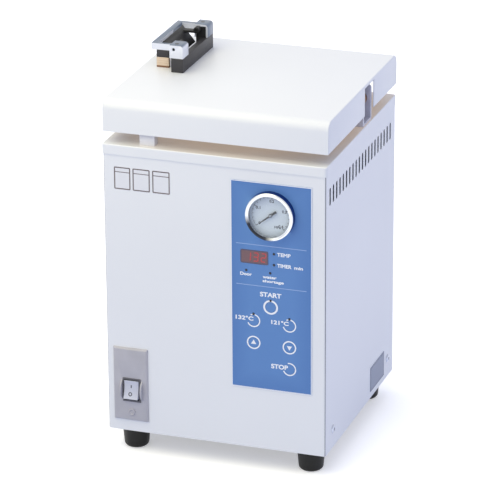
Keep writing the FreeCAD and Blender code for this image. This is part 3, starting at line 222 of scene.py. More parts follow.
finishes = {
    "powderCoatPaintedShadeAndLight": {"colour": (241, 242, 243), "shade": 0.008, "drift": 220, "grain": 1.6, "depth": 0.012,
                   "rough": (0.30, 0.44)},
    "castLid": {"colour": (206, 190, 174), "shade": 0.04, "drift": 40, "grain": 0.8, "depth": 0.02,
                "rough": (0.5, 0.65), "metal": 0.2},
    "insideCoat": {"colour": (120, 122, 130), "shade": 0.05, "drift": 80, "grain": 1.6, "depth": 0.02,
                   "rough": (0.5, 0.7)},
    "drawnSteel": {"colour": (196, 199, 205), "shade": 0.06, "drift": 30, "grain": 0.5, "depth": 0.01,
                   "rough": (0.22, 0.42), "metal": 1, "stretch": (1, 1, 0.06)},
    "sheetSteel": {"colour": (188, 191, 198), "shade": 0.07, "drift": 45, "grain": 0.6, "depth": 0.01,
                   "rough": (0.3, 0.5), "metal": 1, "stretch": (0.08, 1, 1)},
    "platedSteel": {"colour": (176, 182, 200), "shade": 0.05, "drift": 16, "grain": 0.35, "depth": 0.002,
                    "rough": (0.14, 0.30), "metal": 1},
    "darkSteel": {"colour": (38, 38, 42), "shade": 0.1, "drift": 10, "grain": 0.3, "depth": 0.004,
                  "rough": (0.35, 0.55), "metal": 0.6},
    "darkMoulding": {"colour": (84, 84, 92), "shade": 0.05, "drift": 18, "grain": 0.6, "depth": 0.02,
                     "rough": (0.35, 0.5)},
    "blackMoulding": {"colour": (48, 47, 52), "shade": 0.08, "drift": 18, "grain": 0.7, "depth": 0.03,
                      "rough": (0.38, 0.55)},
    "deepMoulding": {"colour": (24, 24, 28), "shade": 0.08, "drift": 18, "grain": 0.7, "depth": 0.03,
                     "rough": (0.38, 0.55)},
    "greyMoulding": {"colour": (185, 183, 189), "shade": 0.03, "drift": 25, "grain": 0.6, "depth": 0.015,
                     "rough": (0.32, 0.46)},
    "paleMoulding": {"colour": (206, 208, 220), "shade": 0.02, "drift": 14, "grain": 0.5, "depth": 0.006,
                     "rough": (0.22, 0.34)},
    "canEnamel": {"colour": (150, 158, 168), "shade": 0.05, "drift": 14, "grain": 0.6, "depth": 0.01,
                  "rough": (0.35, 0.5)},
    "footRubber": {"colour": (12, 13, 16), "shade": 0.15, "drift": 12, "grain": 0.4, "depth": 0.03,
                   "rough": (0.32, 0.5), "specular": 0.3},
    "sealRubber": {"colour": (216, 196, 176), "shade": 0.05, "drift": 20, "grain": 0.5, "depth": 0.02,
                   "rough": (0.5, 0.7)},
    "castBrass": {"colour": (200, 164, 92), "shade": 0.1, "drift": 14, "grain": 0.5, "depth": 0.02,
                  "rough": (0.26, 0.45), "metal": 1},
    "copperTube": {"colour": (206, 140, 105), "shade": 0.1, "drift": 9, "grain": 0.4, "depth": 0.008,
                   "rough": (0.2, 0.4), "metal": 1},
    "bronzeBush": {"colour": (150, 112, 84), "shade": 0.12, "drift": 8, "grain": 0.4, "depth": 0.01,
                   "rough": (0.3, 0.5), "metal": 1},
    "whiteInk": {"colour": (252, 253, 255), "shade": 0.01, "drift": 8, "grain": 0.3, "depth": 0.004,
                 "rough": (0.4, 0.55)},
    "paleInk": {"colour": (160, 186, 226), "shade": 0.02, "drift": 8, "grain": 0.3, "depth": 0.004,
                "rough": (0.4, 0.55)},
    "darkInk": {"colour": (40, 44, 54), "shade": 0.05, "drift": 8, "grain": 0.3, "depth": 0.004,
                "rough": (0.4, 0.55)},
    "needleBlack": {"colour": (22, 22, 26), "shade": 0.05, "drift": 5, "grain": 0.3, "depth": 0.004,
                    "rough": (0.35, 0.5)},
    "lampDome": {"colour": (18, 22, 40), "shade": 0.1, "drift": 2, "grain": 0.4, "depth": 0.004,
                 "rough": (0.1, 0.2)},
    "sensorCase": {"colour": (232, 232, 236), "shade": 0.02, "drift": 10, "grain": 0.5, "depth": 0.01,
                   "rough": (0.35, 0.5)},
}
looks = {name: finish(name, values) for name, values in finishes.items()}

filmValues = {"colour": (98, 141, 199), "edge": (88, 130, 190), "mottle": (78, 118, 180),
              "mottles": (0.8, 0.12), "middle": (77.2, 226.6), "half": (54.2, 142.1), "corner": 1, "fade": 26,
              "rough": (0.5, 0.36, 0.52), "texture": (0.35, 0.008)}


def filmBlue():
    # satin printed film, a touch deeper towards its edge, with a fine matt texture
    look = Look("filmBlue", {"Specular IOR Level": 0.4})
    inward = look.insideField("XZ", filmValues["middle"], filmValues["half"], filmValues["corner"])
    depth = (inward / filmValues["fade"]).atLeast(0).atMost(1)
    blue = look.between(depth, screen(filmValues["edge"]), screen(filmValues["colour"]))
    size, amount = filmValues["mottles"]
    look.feed("Base Color", look.between(look.cloud(size) * amount, blue, screen(filmValues["mottle"])))
    size, height = filmValues["texture"]
    return look.rough(*filmValues["rough"]).relief(look.cells(size), height)


windowValues = {"middle": (54.5, 266.6), "half": (18.7, 9.3), "corner": 2.2, "border": 1.5,
                "glass": (118, 86, 92), "smoke": (104, 76, 82), "smokes": (6, 0.5), "line": (138, 102, 106),
                "lines": (260.0, 0.12), "rim": (84, 76, 100), "rough": (2, 0.14, 0.2), "relief": (0.5, 0.002)}


def windowRed():
    # smoked red window with a darker printed border and rounded corners in the blue film
    look = Look("windowRed", {"Specular IOR Level": 0.5})
    inward = look.insideField("XZ", windowValues["middle"], windowValues["half"], windowValues["corner"])
    scale, strength = windowValues["lines"]
    lines = look.add("TexWave", {"wave_type": "BANDS", "bands_direction": "X"},
                     {"Vector": look.place, "Scale": scale, "Distortion": 0.0})
    size, amount = windowValues["smokes"]
    smoke = look.between(look.cloud(size) * amount, screen(windowValues["glass"]),
                         screen(windowValues["smoke"]))
    glass = look.between(lines * strength, smoke, screen(windowValues["line"]))
    framed = look.between(inward < windowValues["border"], glass, screen(windowValues["rim"]))
    look.feed("Base Color", look.between(inward < 0, framed, screen(filmValues["colour"])))
    return look.skin(windowValues)


boardValues = {"lacquer": (28, 92, 52), "track": (60, 132, 78), "scale": 60.0, "bend": 3.0, "level": 0.6,
               "rough": (3, 0.25, 0.45), "height": 0.03}


def boardGreen():
    # lacquered board with paler copper tracks under the lacquer
    look = Look("boardGreen", {})
    tracks = look.add("TexWave", {"wave_type": "BANDS", "bands_direction": "Z", "wave_profile": "SAW"},
                      {"Vector": look.place, "Scale": boardValues["scale"],
                       "Distortion": boardValues["bend"]})
    look.feed("Base Color", look.between(tracks > boardValues["level"], screen(boardValues["lacquer"]),
                                         screen(boardValues["track"])))
    return look.rough(*boardValues["rough"]).relief(tracks, boardValues["height"])


feltValues = {"fibres": (1.2, (1, 1, 0.3), 6), "stops": [(0.2, (58, 56, 52)), (0.8, (76, 73, 67))],
              "rough": (0.75, 0.95), "height": 0.6}


def jacketFelt():
    # insulation felt, rough all over
    look = Look("jacketFelt", {"Specular IOR Level": 0.2})
    fibres = look.cloud(*feltValues["fibres"])
    look.feed("Base Color", look.add("ValToRGB", {"stops": feltValues["stops"]}, {0: fibres}))
    smooth, coarse = feltValues["rough"]
    look.feed("Roughness", fibres * (coarse - smooth) + smooth)
    return look.relief(fibres, feltValues["height"])


plateValues = {"middle": (78.5, 26.3), "half": (31, 17.3), "corner": 1.5, "edge": 1.1, "line": 0.7,
               "silver": (114, 124, 150), "streak": (126, 136, 162), "ink": (66, 68, 80),
               "brush": (0.5, (1, 0.05, 1), 3), "metal": 0.3, "rough": (0.32, 0.47), "height": 0.004}


def plateSilver():
    # satin foil with a printed border and nothing in it
    look = Look("plateSilver", {"Specular IOR Level": 0.5})
    inward = look.insideField("YZ", plateValues["middle"], plateValues["half"], plateValues["corner"])
    border = (inward > plateValues["edge"]) * (inward < plateValues["edge"] + plateValues["line"])
    brushed = look.cloud(*plateValues["brush"])
    foil = look.between(brushed, screen(plateValues["silver"]), screen(plateValues["streak"]))
    look.feed("Base Color", look.between(border, foil, screen(plateValues["ink"])))
    look.feed("Metallic", plateValues["metal"] - border * plateValues["metal"])
    smooth, coarse = plateValues["rough"]
    look.feed("Roughness", brushed * (coarse - smooth) + smooth)
    return look.relief(brushed, plateValues["height"])


shoeValues = {"tan": (226, 205, 182), "seam": (206, 180, 152), "seams": 0.5, "brown": (128, 88, 62),
              "edgeTop": 458.4, "ply": 1.6, "wave": 6.28, "bend": 1.2, "detail": 2.0,
              "rough": (1.5, 0.45, 0.65), "height": 0.05}


def shoeLaminate():
    # pressed laminate: thin layers lying flat, the lowest one dark
    look = Look("shoeLaminate", {})
    layers = look.add("TexWave", {"wave_type": "BANDS", "bands_direction": "Z"},
                      {"Vector": look.place, "Scale": 1000 / shoeValues["ply"] / shoeValues["wave"],
                       "Distortion": shoeValues["bend"], "Detail": shoeValues["detail"]})
    plies = look.between(layers * shoeValues["seams"], screen(shoeValues["tan"]), screen(shoeValues["seam"]))
    lowest = look.height() < shoeValues["edgeTop"]
    look.feed("Base Color", look.between(lowest, plies, screen(shoeValues["brown"])))
    return look.rough(*shoeValues["rough"]).relief(layers, shoeValues["height"])


dialValues = {"centre": (77.2, 326.3), "radius": 29.0, "face": (224, 234, 240), "cloudy": (212, 224, 232),
              "clouds": (3, 0.3), "shade": (188, 200, 210), "shadeFrom": 0.7, "shadeRise": 3,
              "rough": (0.6, 0.5, 0.6), "relief": (0.6, 0.004)}


def dialPale():
    # printed sheet with a painted shade that darkens it towards its rim
    look = Look("dialPale", {"Specular IOR Level": 0.3})
    across, up = (look.offset(axis, at) for axis, at in zip("XZ", dialValues["centre"]))
    reach = (across * across + up * up).root() / dialValues["radius"]
    rim = ((reach - dialValues["shadeFrom"]) * dialValues["shadeRise"]).atLeast(0).atMost(1)
    size, amount = dialValues["clouds"]
    paper = look.between(look.cloud(size) * amount, screen(dialValues["face"]), screen(dialValues["cloudy"]))
    look.feed("Base Color", look.between(rim, paper, screen(dialValues["shade"])))
    return look.skin(dialValues)


glassValues = {"alpha": 0.05, "tint": (0.9, 0.95, 1, 1), "rough": (5, 0.02, 0.04), "relief": (9, 0.002)}


def gaugeGlass():
    look = Look("gaugeGlass", {"Alpha": glassValues["alpha"], "Base Color": glassValues["tint"]})
    return look.skin(glassValues)


glowValues = {"bright": (206, 70, 74), "dim": (186, 58, 62), "clouds": 1.5, "strength": 0.05,
              "rough": (0.5, 0.3, 0.4), "relief": (0.5, 0.002)}


def digitRed():
    look = Look("digitRed", {"Emission Strength": glowValues["strength"]})
    glow = look.between(look.cloud(glowValues["clouds"]), screen(glowValues["bright"]),
                        screen(glowValues["dim"]))
    look.feed("Base Color", glow)
    look.feed("Emission Color", glow)
    return look.skin(glowValues)


# inside: colour of the painted shade on the sheet metal's inner faces; warm and glow: painted light on the
# top face below the lid
coatValues = {"inside": (40, 42, 49), "paintedShadeX": 149.4, "paintedShadeY": (-150.4, 150.2), "paintedShadeTop": 396.5,
              "paintedLightHeights": (397, 399), "paintedWarmLight": (188, 181, 175), "glow": (0.26, 0.205, 0.16), "middle": 28.0,
              "reach": 230.0, "fade": 80.0}


def caseCoatPaintedShadeAndLight():
    # powder coat outside; painted shade: dark on the inner faces of the sheet metal; painted light: a warm
    # glow on the top face below the lid
    look = looks["powderCoatPaintedShadeAndLight"]
    x = look.offset("X", 0)
    y = look.offset("Y", 0)
    height = look.height()
    # painted shade: the faces inside the sheet metal take a dark colour
    front, back = coatValues["paintedShadeY"]
    within = (abs(x) < coatValues["paintedShadeX"]) * (y > front) * (y < back) * (height < coatValues["paintedShadeTop"])
    outside = Wire(look, look.shader.inputs["Base Color"].links[0].from_socket)
    withPaintedShade = look.between(within, outside, screen(coatValues["inside"]))
    # painted light: the top face below the lid is tinted warm and made to glow, fading outward from its
    # middle
    low, high = coatValues["paintedLightHeights"]
    top = (look.facing("Z") > levelFace) * (height > low) * (height < high)
    along = look.offset("Y", coatValues["middle"])
    away = (x * x + along * along).root()
    paintedWarmLight = ((coatValues["reach"] - away) / coatValues["fade"]).atLeast(0).atMost(1) * top
    look.feed("Base Color", look.between(paintedWarmLight, withPaintedShade, screen(coatValues["paintedWarmLight"])))
    look.feed("Emission Color", look.between(paintedWarmLight, (0, 0, 0, 1), (*coatValues["glow"], 1)))
    look.shader.inputs["Emission Strength"].default_value = 1


# top is the colour of a painted dark reflection on the handle's upper and rear faces
handleValues = {"pale": (228, 231, 240), "top": (114, 126, 144), "topReflectionFrom": 0.35, "topReflectionRise": 2.2,
                "rearReflectionFacing": 0.5, "rearReflectionFrom": 60, "screw": (24, 26, 32),
                "screws": [(-99.0, -9.0), (-99.0, 91.5)], "radius": 2.9,
                "rough": (0.4, 0.24, 0.36), "relief": (0.4, 0.003)}


def handlePlatePaintedReflection():
    # satin plating, pale on its upright faces, with a painted dark reflection on its top and on the rear
    # part's right-facing faces, and a dark disc on each cap's top for a sunk screw
    look = Look("handlePlatePaintedReflection", {"Metallic": 0.25, "Specular IOR Level": 0.5})
    # painted reflection: top faces, and the rear part's faces turned to the right, take a dark blue-grey
    upwardReflection = ((look.facing("Z") - handleValues["topReflectionFrom"]) * handleValues["topReflectionRise"]).atLeast(0).atMost(1)
    rear = look.offset("Y", 0) > handleValues["rearReflectionFrom"]
    rearwardReflection = rear * (look.facing("X") > handleValues["rearReflectionFacing"])
    tone = look.between(upwardReflection.atLeast(rearwardReflection), screen(handleValues["pale"]), screen(handleValues["top"]))
    for x, y in handleValues["screws"]:
        across = look.offset("X", x)
        along = look.offset("Y", y)
        reach = (across * across + along * along).root()
        hole = (reach < handleValues["radius"]) * (look.facing("Z") > levelFace)
        tone = look.between(hole, tone, screen(handleValues["screw"]))
    look.feed("Base Color", tone)
    return look.skin(handleValues)


# the rim's lower left carries a painted dark reflection and its flank a painted reflection of the blue film
rimValues = {"chrome": (222, 226, 232), "paintedDarkReflection": (52, 55, 64), "paintedDarkReflectionSide": (-0.62, -0.78), "paintedDarkReflectionFrom": 0.62,
             "paintedDarkReflectionRise": 4, "paintedDarkReflectionFacing": -0.35, "paintedBlueReflection": (60, 92, 146), "paintedBlueReflectionFrom": 0.5, "paintedBlueReflectionRise": 4,
             "rough": (0.3, 0.07, 0.15), "relief": (0.3, 0.001)}


def rimChromePaintedReflection():
    # chromed rim with painted reflections: a painted dark reflection on its lower left, and a painted
    # reflection of the film's blue on its flank
    look = Look("rimChromePaintedReflection", {"Metallic": 1.0})
    across, up = (look.offset(axis, at) for axis, at in zip("XZ", dialValues["centre"]))
    right, rise = rimValues["paintedDarkReflectionSide"]
    towards = (across * right + up * rise) / (across * across + up * up).root()
    front = look.facing("Y")
    # painted dark reflection on the lower left of the rim's front; painted blue reflection on its flank
    # towards the upper right
    shade = ((towards - rimValues["paintedDarkReflectionFrom"]) * rimValues["paintedDarkReflectionRise"]).atLeast(0).atMost(1)
    paintedBlueReflection = ((rimValues["paintedBlueReflectionFrom"] - abs(front)) * rimValues["paintedBlueReflectionRise"]).atLeast(0).atMost(1)
    ring = look.between(shade * (front < rimValues["paintedDarkReflectionFacing"]), screen(rimValues["chrome"]),
                        screen(rimValues["paintedDarkReflection"]))
    look.feed("Base Color", look.between(paintedBlueReflection * (towards < 0), ring, screen(rimValues["paintedBlueReflection"])))
    return look.skin(rimValues)


for make in (filmBlue, windowRed, boardGreen, jacketFelt, plateSilver, shoeLaminate, dialPale, gaugeGlass,
             digitRed, handlePlatePaintedReflection, rimChromePaintedReflection):
    looks[make.__name__] = make()
caseCoatPaintedShadeAndLight()

finishOf = {
    "powderCoatPaintedShadeAndLight": ["case_shell", "rear_panel", "top_cover", "lid_cover"],
    "insideCoat": ["base_tray"],
    "drawnSteel": ["chamber_vessel", "steam_pipe", "heater_element", "centre_bolt"],
    "sheetSteel": ["vessel_stand", "water_grid", "lid_yoke", "cover_spacers", "strike", "lock_hook"],
    "castLid": ["chamber_flange", "pressure_lid"],
    "paleMoulding": ["hinge_bracket", "rocker"],
    "platedSteel": ["case_screws", "foot_screws"],
    "handlePlatePaintedReflection": ["handle"],
    "rimChromePaintedReflection": ["gauge_bezel"],
    "darkSteel": ["paddle_pins"],
    "bronzeBush": ["hinge_pin"],
    "filmBlue": ["control_film", "key_start", "key_high", "key_low", "key_up", "key_down", "key_stop"],
    "windowRed": ["display_window"],
    "lampDome": ["indicator_lamps"],
    "boardGreen": ["control_board"],
    "blackMoulding": ["latch_base", "mains_inlet", "shoe_pad"],
    "deepMoulding": ["pivot_blocks", "paddle"],
    "canEnamel": ["gauge_case"],
    "gaugeGlass": ["gauge_glass"],
    "dialPale": ["gauge_dial"],
    "needleBlack": ["gauge_needle"],
    "copperTube": ["gauge_pipe"],
    "greyMoulding": ["switch_plate"],
    "darkMoulding": ["rocker_frame"],
    "plateSilver": ["rating_plate"],
    "footRubber": ["foot_front_left", "foot_front_right", "foot_back_left", "foot_back_right"],
    "sealRubber": ["lid_gasket"],
    "jacketFelt": ["vessel_jacket"],
    "castBrass": ["steam_valve"],
    "sensorCase": ["door_sensor"],
    "shoeLaminate": ["latch_shoe"],
}
for name, members in finishOf.items():
    for node in members:
        mesh = nodes[node].data
        mesh.materials.clear()
        mesh.materials.append(looks[name].material)
print("finishes made:", len(looks))


# Tools for new pieces

arcStep = 7  # degrees between two corners of a flat ring
edgeAngle = 38  # least angle in degrees of an edge that is broken


def finished(name, shape, look, body, sharp=32):
    # closes a bmesh into a piece that rides on a body
    bmesh.ops.recalc_face_normals(shape, faces=shape.faces)
    mesh = bpy.data.meshes.new(name)
    shape.to_mesh(mesh)
    shape.free()
    mesh.materials.append(looks[look].material)
    mesh.shade_smooth()
    mesh.set_sharp_from_angle(angle=math.radians(sharp))
    piece = bpy.data.objects.new(name, mesh)
    bpy.context.scene.collection.objects.link(piece)
    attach(piece, body)
    return piece


def gather(shapes):
    # joins bmeshes into one
    whole = bmesh.new()
    for shape in shapes:
        spare = bpy.data.meshes.new("spare")
        shape.to_mesh(spare)
        shape.free()
        whole.from_mesh(spare)
        bpy.data.meshes.remove(spare)
    return whole


def thicken(shape, depth):
    raised = bmesh.ops.extrude_face_region(shape, geom=shape.faces[:])["geom"]
    bmesh.ops.translate(shape, verts=[v for v in raised if isinstance(v, bmesh.types.BMVert)],
                        vec=(0, 0, depth * mm))
    return shape


def ontoFront(shape, x, y, z, turn=0):
    # turns a flat shape to face the front and puts its middle at a place
    at = Matrix.Translation(Vector((x, y, z + base)) * mm) @ Matrix.Rotation(math.pi / 2, 4, "X")
    bmesh.ops.transform(shape, verts=shape.verts, matrix=at @ Matrix.Rotation(math.radians(turn), 4, "Z"))
    return shape


def strip(width, height, depth, corner=0.0):
    # flat bar with rounded corners, lying in its own plane
    shape = bmesh.new()
    bmesh.ops.create_grid(shape, x_segments=1, y_segments=1, size=0.5)
    bmesh.ops.scale(shape, vec=(width * mm, height * mm, 1), verts=shape.verts)
    if corner:
        bmesh.ops.bevel(shape, geom=shape.verts[:], offset=corner * mm, offset_type="OFFSET", segments=5,
                        profile=0.5, affect="VERTICES", material=-1)
    return thicken(shape, depth)


def arcBand(radius, stroke, start, end, depth):
    # part of a flat ring between two angles in degrees
    shape = bmesh.new()
    ends = [shape.verts.new(((radius + side * stroke / 2) * mm, 0, 0)) for side in (-1, 1)]
    edge = shape.edges.new(ends)
    bmesh.ops.rotate(shape, verts=ends, cent=(0, 0, 0), matrix=Matrix.Rotation(math.radians(start), 3, "Z"))
    turn = end - start
    bmesh.ops.spin(shape, geom=ends + [edge], cent=(0, 0, 0), axis=(0, 0, 1), angle=math.radians(turn),
                   steps=max(int(abs(turn) / arcStep), 2), use_merge=abs(turn) == 360)
    return thicken(shape, depth)


def turned(profile, steps=48):
    # a profile of (radius, height) spun round the upright axis
    shape = bmesh.new()
    line = [shape.verts.new((radius * mm, 0, height * mm)) for radius, height in profile]
    edges = [shape.edges.new(pair) for pair in zip(line, line[1:])]
    bmesh.ops.spin(shape, geom=line + edges, cent=(0, 0, 0), axis=(0, 0, 1), angle=math.tau, steps=steps,
                   use_merge=True)
    bmesh.ops.remove_doubles(shape, verts=shape.verts, dist=1e-7)
    return shape


def word(text, left, right, middle, height, depth, bold=0.035):
    # printed word that fills the space from left to right, facing the front once turned
    letters = bpy.data.curves.new("letters", "FONT")
    letters.body = text
    letters.extrude = 0.5
    letters.bevel_depth = bold  # widens every stroke by the same amount
    letters.bevel_resolution = 0
    holder = bpy.data.objects.new("letters", letters)
    bpy.context.scene.collection.objects.link(holder)
    bpy.context.view_layer.update()
    flat = bpy.data.meshes.new_from_object(holder.evaluated_get(bpy.context.evaluated_depsgraph_get()))
    shape = bmesh.new()
    shape.from_mesh(flat)
    bpy.data.objects.remove(holder)
    bpy.data.curves.remove(letters)
    bpy.data.meshes.remove(flat)
    bmesh.ops.remove_doubles(shape, verts=shape.verts, dist=1e-5)
    low = [min(v.co[axis] for v in shape.verts) for axis in range(3)]
    high = [max(v.co[axis] for v in shape.verts) for axis in range(3)]
    toMiddle = [-(a + b) / 2 for a, b in zip(low[:2], high[:2])]
    bmesh.ops.translate(shape, verts=shape.verts, vec=toMiddle + [-low[2]])
    spans = (right - left, height, depth)
    sizes = [span * mm / (b - a) for span, a, b in zip(spans, low, high)]
    bmesh.ops.scale(shape, verts=shape.verts, vec=sizes)
    bmesh.ops.translate(shape, verts=shape.verts, vec=((left + right) / 2 * mm, middle * mm, 0))
    return shape


def pressOnto(shape, node, lift):
    # sinks a thin mark facing the front onto a curved face, keeping its thickness
    faces = bmesh.new()
    faces.from_mesh(nodes[node].data)
    tree = BVHTree.FromBMesh(faces)
    nearest = max(v.co.y for v in shape.verts)
    for vert in shape.verts:
        hit = tree.ray_cast(Vector((vert.co.x, -1, vert.co.z)), Vector((0, 1, 0)))[0]
        if hit:
            vert.co.y = hit.y - lift * mm + vert.co.y - nearest
    faces.free()
    return shape


def softened(name, node, width, wanted=None, segments=2):
    # the CAD piece again, with its sharp edges broken
    shape = bmesh.new()
    shape.from_mesh(nodes[node].data)
    bmesh.ops.remove_doubles(shape, verts=shape.verts, dist=1e-6)
    bmesh.ops.dissolve_limit(shape, angle_limit=math.radians(1), verts=shape.verts, edges=shape.edges)
    least = math.radians(edgeAngle)
    edges = [e for e in shape.edges if len(e.link_faces) == 2 and e.calc_face_angle(0) > least
             and (wanted is None or wanted(e))]
    bmesh.ops.bevel(shape, geom=edges, offset=width * mm, offset_type="OFFSET", segments=segments,
                    profile=0.5, affect="EDGES", clamp_overlap=True, material=-1)
    look = next(key for key, members in finishOf.items() if node in members)
    piece = finished(name, shape, look, bodyOf[node])
    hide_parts(node)
    return piece


# Control panel print

ink = 0.05
panelFace = -151.8
panelValues = {
    "words": [("TEMP", 85.0, 103.3, 273.6, 5.0), ("TIMER", 85.2, 104.5, 258.6, 5.0),
              ("min", 108.0, 119.7, 258.1, 4.2), ("Door", 35.3, 51.0, 242.4, 4.4),
              ("water", 65.5, 84.4, 240.9, 3.7), ("shortage", 65.5, 94.0, 235.0, 5.0),
              ("START", 61.9, 90.7, 216.9, 6.5), ("132°C", 28.6, 52.8, 181.5, 6.0),
              ("121°C", 76.9, 100.4, 180.2, 6.0), ("STOP", 76.7, 99.5, 118.8, 6.5)],
    "rings": [(76.2, 200.0, 8.7, 2.4, 0, 360), (53.0, 179.0, 8.3, 1.6, 80, -155),
              (53.0, 179.0, 8.3, 1.6, 118, 100), (101.4, 177.5, 8.3, 1.6, 80, -165),
              (101.4, 177.5, 8.3, 1.6, 118, 100), (53.0, 148.5, 8.3, 1.8, 0, 360),
              (101.4, 147.3, 8.3, 1.8, 0, 360), (101.4, 117.0, 8.3, 1.6, 105, -160)],
    "dividers": [(77.1, 283.5), (77.1, 227.7)],
    "dividerSize": (94.3, 0.9),
    "border": 1.0,
}


def panelPrint():
    words = [ontoFront(word(*entry, ink), 0, panelFace, 0) for entry in panelValues["words"]]
    rings = [ontoFront(arcBand(radius, stroke, start, end, ink), x, panelFace, z)
             for x, z, radius, stroke, start, end in panelValues["rings"]]
    finished("panelWords", gather(words), "whiteInk", "case")
    finished("panelRings", gather(rings), "whiteInk", "case")
    wide, tall = panelValues["dividerSize"]
    lines = [ontoFront(strip(wide, tall, ink), x, panelFace, z) for x, z in panelValues["dividers"]]
    finished("panelLines", gather(lines), "paleInk", "case")

    # white border of the film, cut from a sheet by insetting it
    low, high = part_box("control_film")
    shape = bmesh.new()
    bmesh.ops.create_grid(shape, x_segments=1, y_segments=1, size=0.5)
    bmesh.ops.scale(shape, vec=(high.x - low.x, high.z - low.z, 1), verts=shape.verts)
    bmesh.ops.inset_region(shape, faces=shape.faces[:], thickness=panelValues["border"] * mm,
                           use_boundary=True, use_even_offset=True)
    middle = min(shape.faces, key=lambda face: face.calc_center_median().length)
    bmesh.ops.delete(shape, geom=[middle], context="FACES")
    thicken(shape, ink)
    centre = (low + high) / 2 / mm
    ontoFront(shape, centre.x, panelFace, centre.z - base)
    finished("panelBorder", shape, "whiteInk", "case")


panelPrint()

triangleValues = {"places": {"key_up": (53.0, 148.5, 90), "key_down": (101.4, 147.3, -90)}, "radius": 4.1,
                  "corner": 0.5}
for key, (x, z, turn) in triangleValues["places"].items():
    shape = bmesh.new()
    bmesh.ops.create_circle(shape, cap_ends=True, segments=3, radius=triangleValues["radius"] * mm)
    bmesh.ops.bevel(shape, geom=shape.verts[:], offset=triangleValues["corner"] * mm, offset_type="OFFSET",
                    segments=3, profile=0.5, affect="VERTICES", material=-1)
    thicken(shape, ink)
    # the operator puts its first corner on its own Y axis
    ontoFront(shape, x, panelFace, z, turn - 90)
    finished(key + "Mark", shape, "whiteInk", key)

digitValues = {"places": [46.4, 56.6, 66.8], "middle": 266.8,
               "half": (2.9, 5.6), "stroke": 1.25, "corner": 0.45, "gap": 0.5, "lean": 0.08}
segmentPlaces = {"a": (0, 1, 0), "b": (1, 0.5, 90), "c": (1, -0.5, 90), "d": (0, -1, 0), "e": (-1, -0.5, 90),
                 "f": (-1, 0.5, 90), "g": (0, 0, 0)}


def displayDigits(shown):
    # lit bars of three figures behind the window
    bars = []
    halfWide, halfTall = digitValues["half"]
    for x, lit in zip(digitValues["places"], shown):
        for letter in lit:
            across, up, turn = segmentPlaces[letter]
            length = 2 * halfWide if turn == 0 else halfTall
            bar = strip(length - digitValues["gap"], digitValues["stroke"], ink, digitValues["corner"])
            rise = up * halfTall
            bars.append(ontoFront(bar, x + across * halfWide + rise * digitValues["lean"], panelFace,
                                  digitValues["middle"] + rise, turn))
    finished("displayDigits", gather(bars), "digitRed", "case")


displayDigits(["bc", "abgcd", "abged"])
print("panel printed")


# Pressure gauge

gaugeValues = {
    "centre": (77.2, 326.3), "dialFront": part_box("gauge_dial")[1].y / mm - 0.5, "zero": 218, "step": -66,
    "numerals": ["0", "0.1", "0.2", "0.3", "0.4"], "numeralReach": 19.2, "numeralHeight": 4.0,
    "widths": {"0": 2.8}, "width": 6.2, "bold": 0.03, "unit": ("MPa", 4.8, -15.4, 8.4, 3.5),
    "tickReach": 25.2, "longTick": (3.6, 0.75), "shortTick": (2.2, 0.45), "scaleLine": 0.35,
    "cap": [(0.0, 1.1), (0.9, 1.05), (1.7, 0.7), (2.0, 0.3), (2.0, 0.0), (0.0, 0.0)],
    "rim": [(31.2, 0.0), (32.3, 0.0), (32.3, 7.6), (32.05, 8.9), (31.4, 9.8), (30.4, 10.2), (29.5, 10.05),
            (28.8, 9.6), (28.2, 9.3), (27.5, 9.2), (27.5, 9.02), (31.2, 9.02), (31.2, 0.0)],
}


def gaugeDress():
    x0, z0 = gaugeValues["centre"]
    front = gaugeValues["dialFront"]
    marks = []
    for tenth, text in enumerate(gaugeValues["numerals"]):
        angle = math.radians(gaugeValues["zero"] + tenth * gaugeValues["step"])
        x = gaugeValues["numeralReach"] * math.cos(angle)
        z = gaugeValues["numeralReach"] * math.sin(angle)
        half = gaugeValues["widths"].get(text, gaugeValues["width"]) / 2
        numeral = word(text, x - half, x + half, z, gaugeValues["numeralHeight"], ink, gaugeValues["bold"])
        marks.append(ontoFront(numeral, x0, front, z0))
    text, x, z, wide, tall = gaugeValues["unit"]
    marks.append(ontoFront(word(text, x, x + wide, z, tall, ink, gaugeValues["bold"]), x0, front, z0))
    steps = len(gaugeValues["numerals"]) - 1
    for mark in range(5 * steps + 1):
        turn = gaugeValues["zero"] + mark * gaugeValues["step"] / 5
        length, stroke = gaugeValues["shortTick" if mark % 5 else "longTick"]
        reach = gaugeValues["tickReach"] - length / 2
        angle = math.radians(turn)
        bar = strip(length, stroke, ink)
        marks.append(ontoFront(bar, x0 + reach * math.cos(angle), front, z0 + reach * math.sin(angle), turn))
    line = arcBand(gaugeValues["tickReach"], gaugeValues["scaleLine"], gaugeValues["zero"],
                   gaugeValues["zero"] + steps * gaugeValues["step"], ink)
    marks.append(ontoFront(line, x0, front, z0))
    finished("dialPrint", gather(marks), "darkInk", "case")

    # rolled rim: a profile spun round the gauge, with a thin folded lip over the glass
    shape = turned(gaugeValues["rim"], 96)
    ontoFront(shape, x0, panelFace, z0)
    rim = finished("gaugeRim", shape, "rimChromePaintedReflection", "case", 50)
    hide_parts("gauge_bezel")

    cap = turned(gaugeValues["cap"], 32)
    ontoFront(cap, x0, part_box("gauge_needle")[0].y / mm, z0)
    finished("needleCap", cap, "canEnamel", "needle")


gaugeDress()
print("gauge dressed")


# Mains switch

switchValues = {"centre": (-115.0, 60.0), "bar": (-0.2, 5.6, 1.3, 4.0), "ring": (-1.0, -4.6, 2.0, 1.1),
                "ahead": -160, "lift": 0.02, "plug": (-115.5, 28.4), "plugFace": -154.5,
                "plugProfile": [(0.0, 0.5), (2.4, 0.55), (3.1, 1.4), (3.9, 1.6), (4.7, 1.0), (4.9, 0.0),
                                (0.0, 0.0)]}


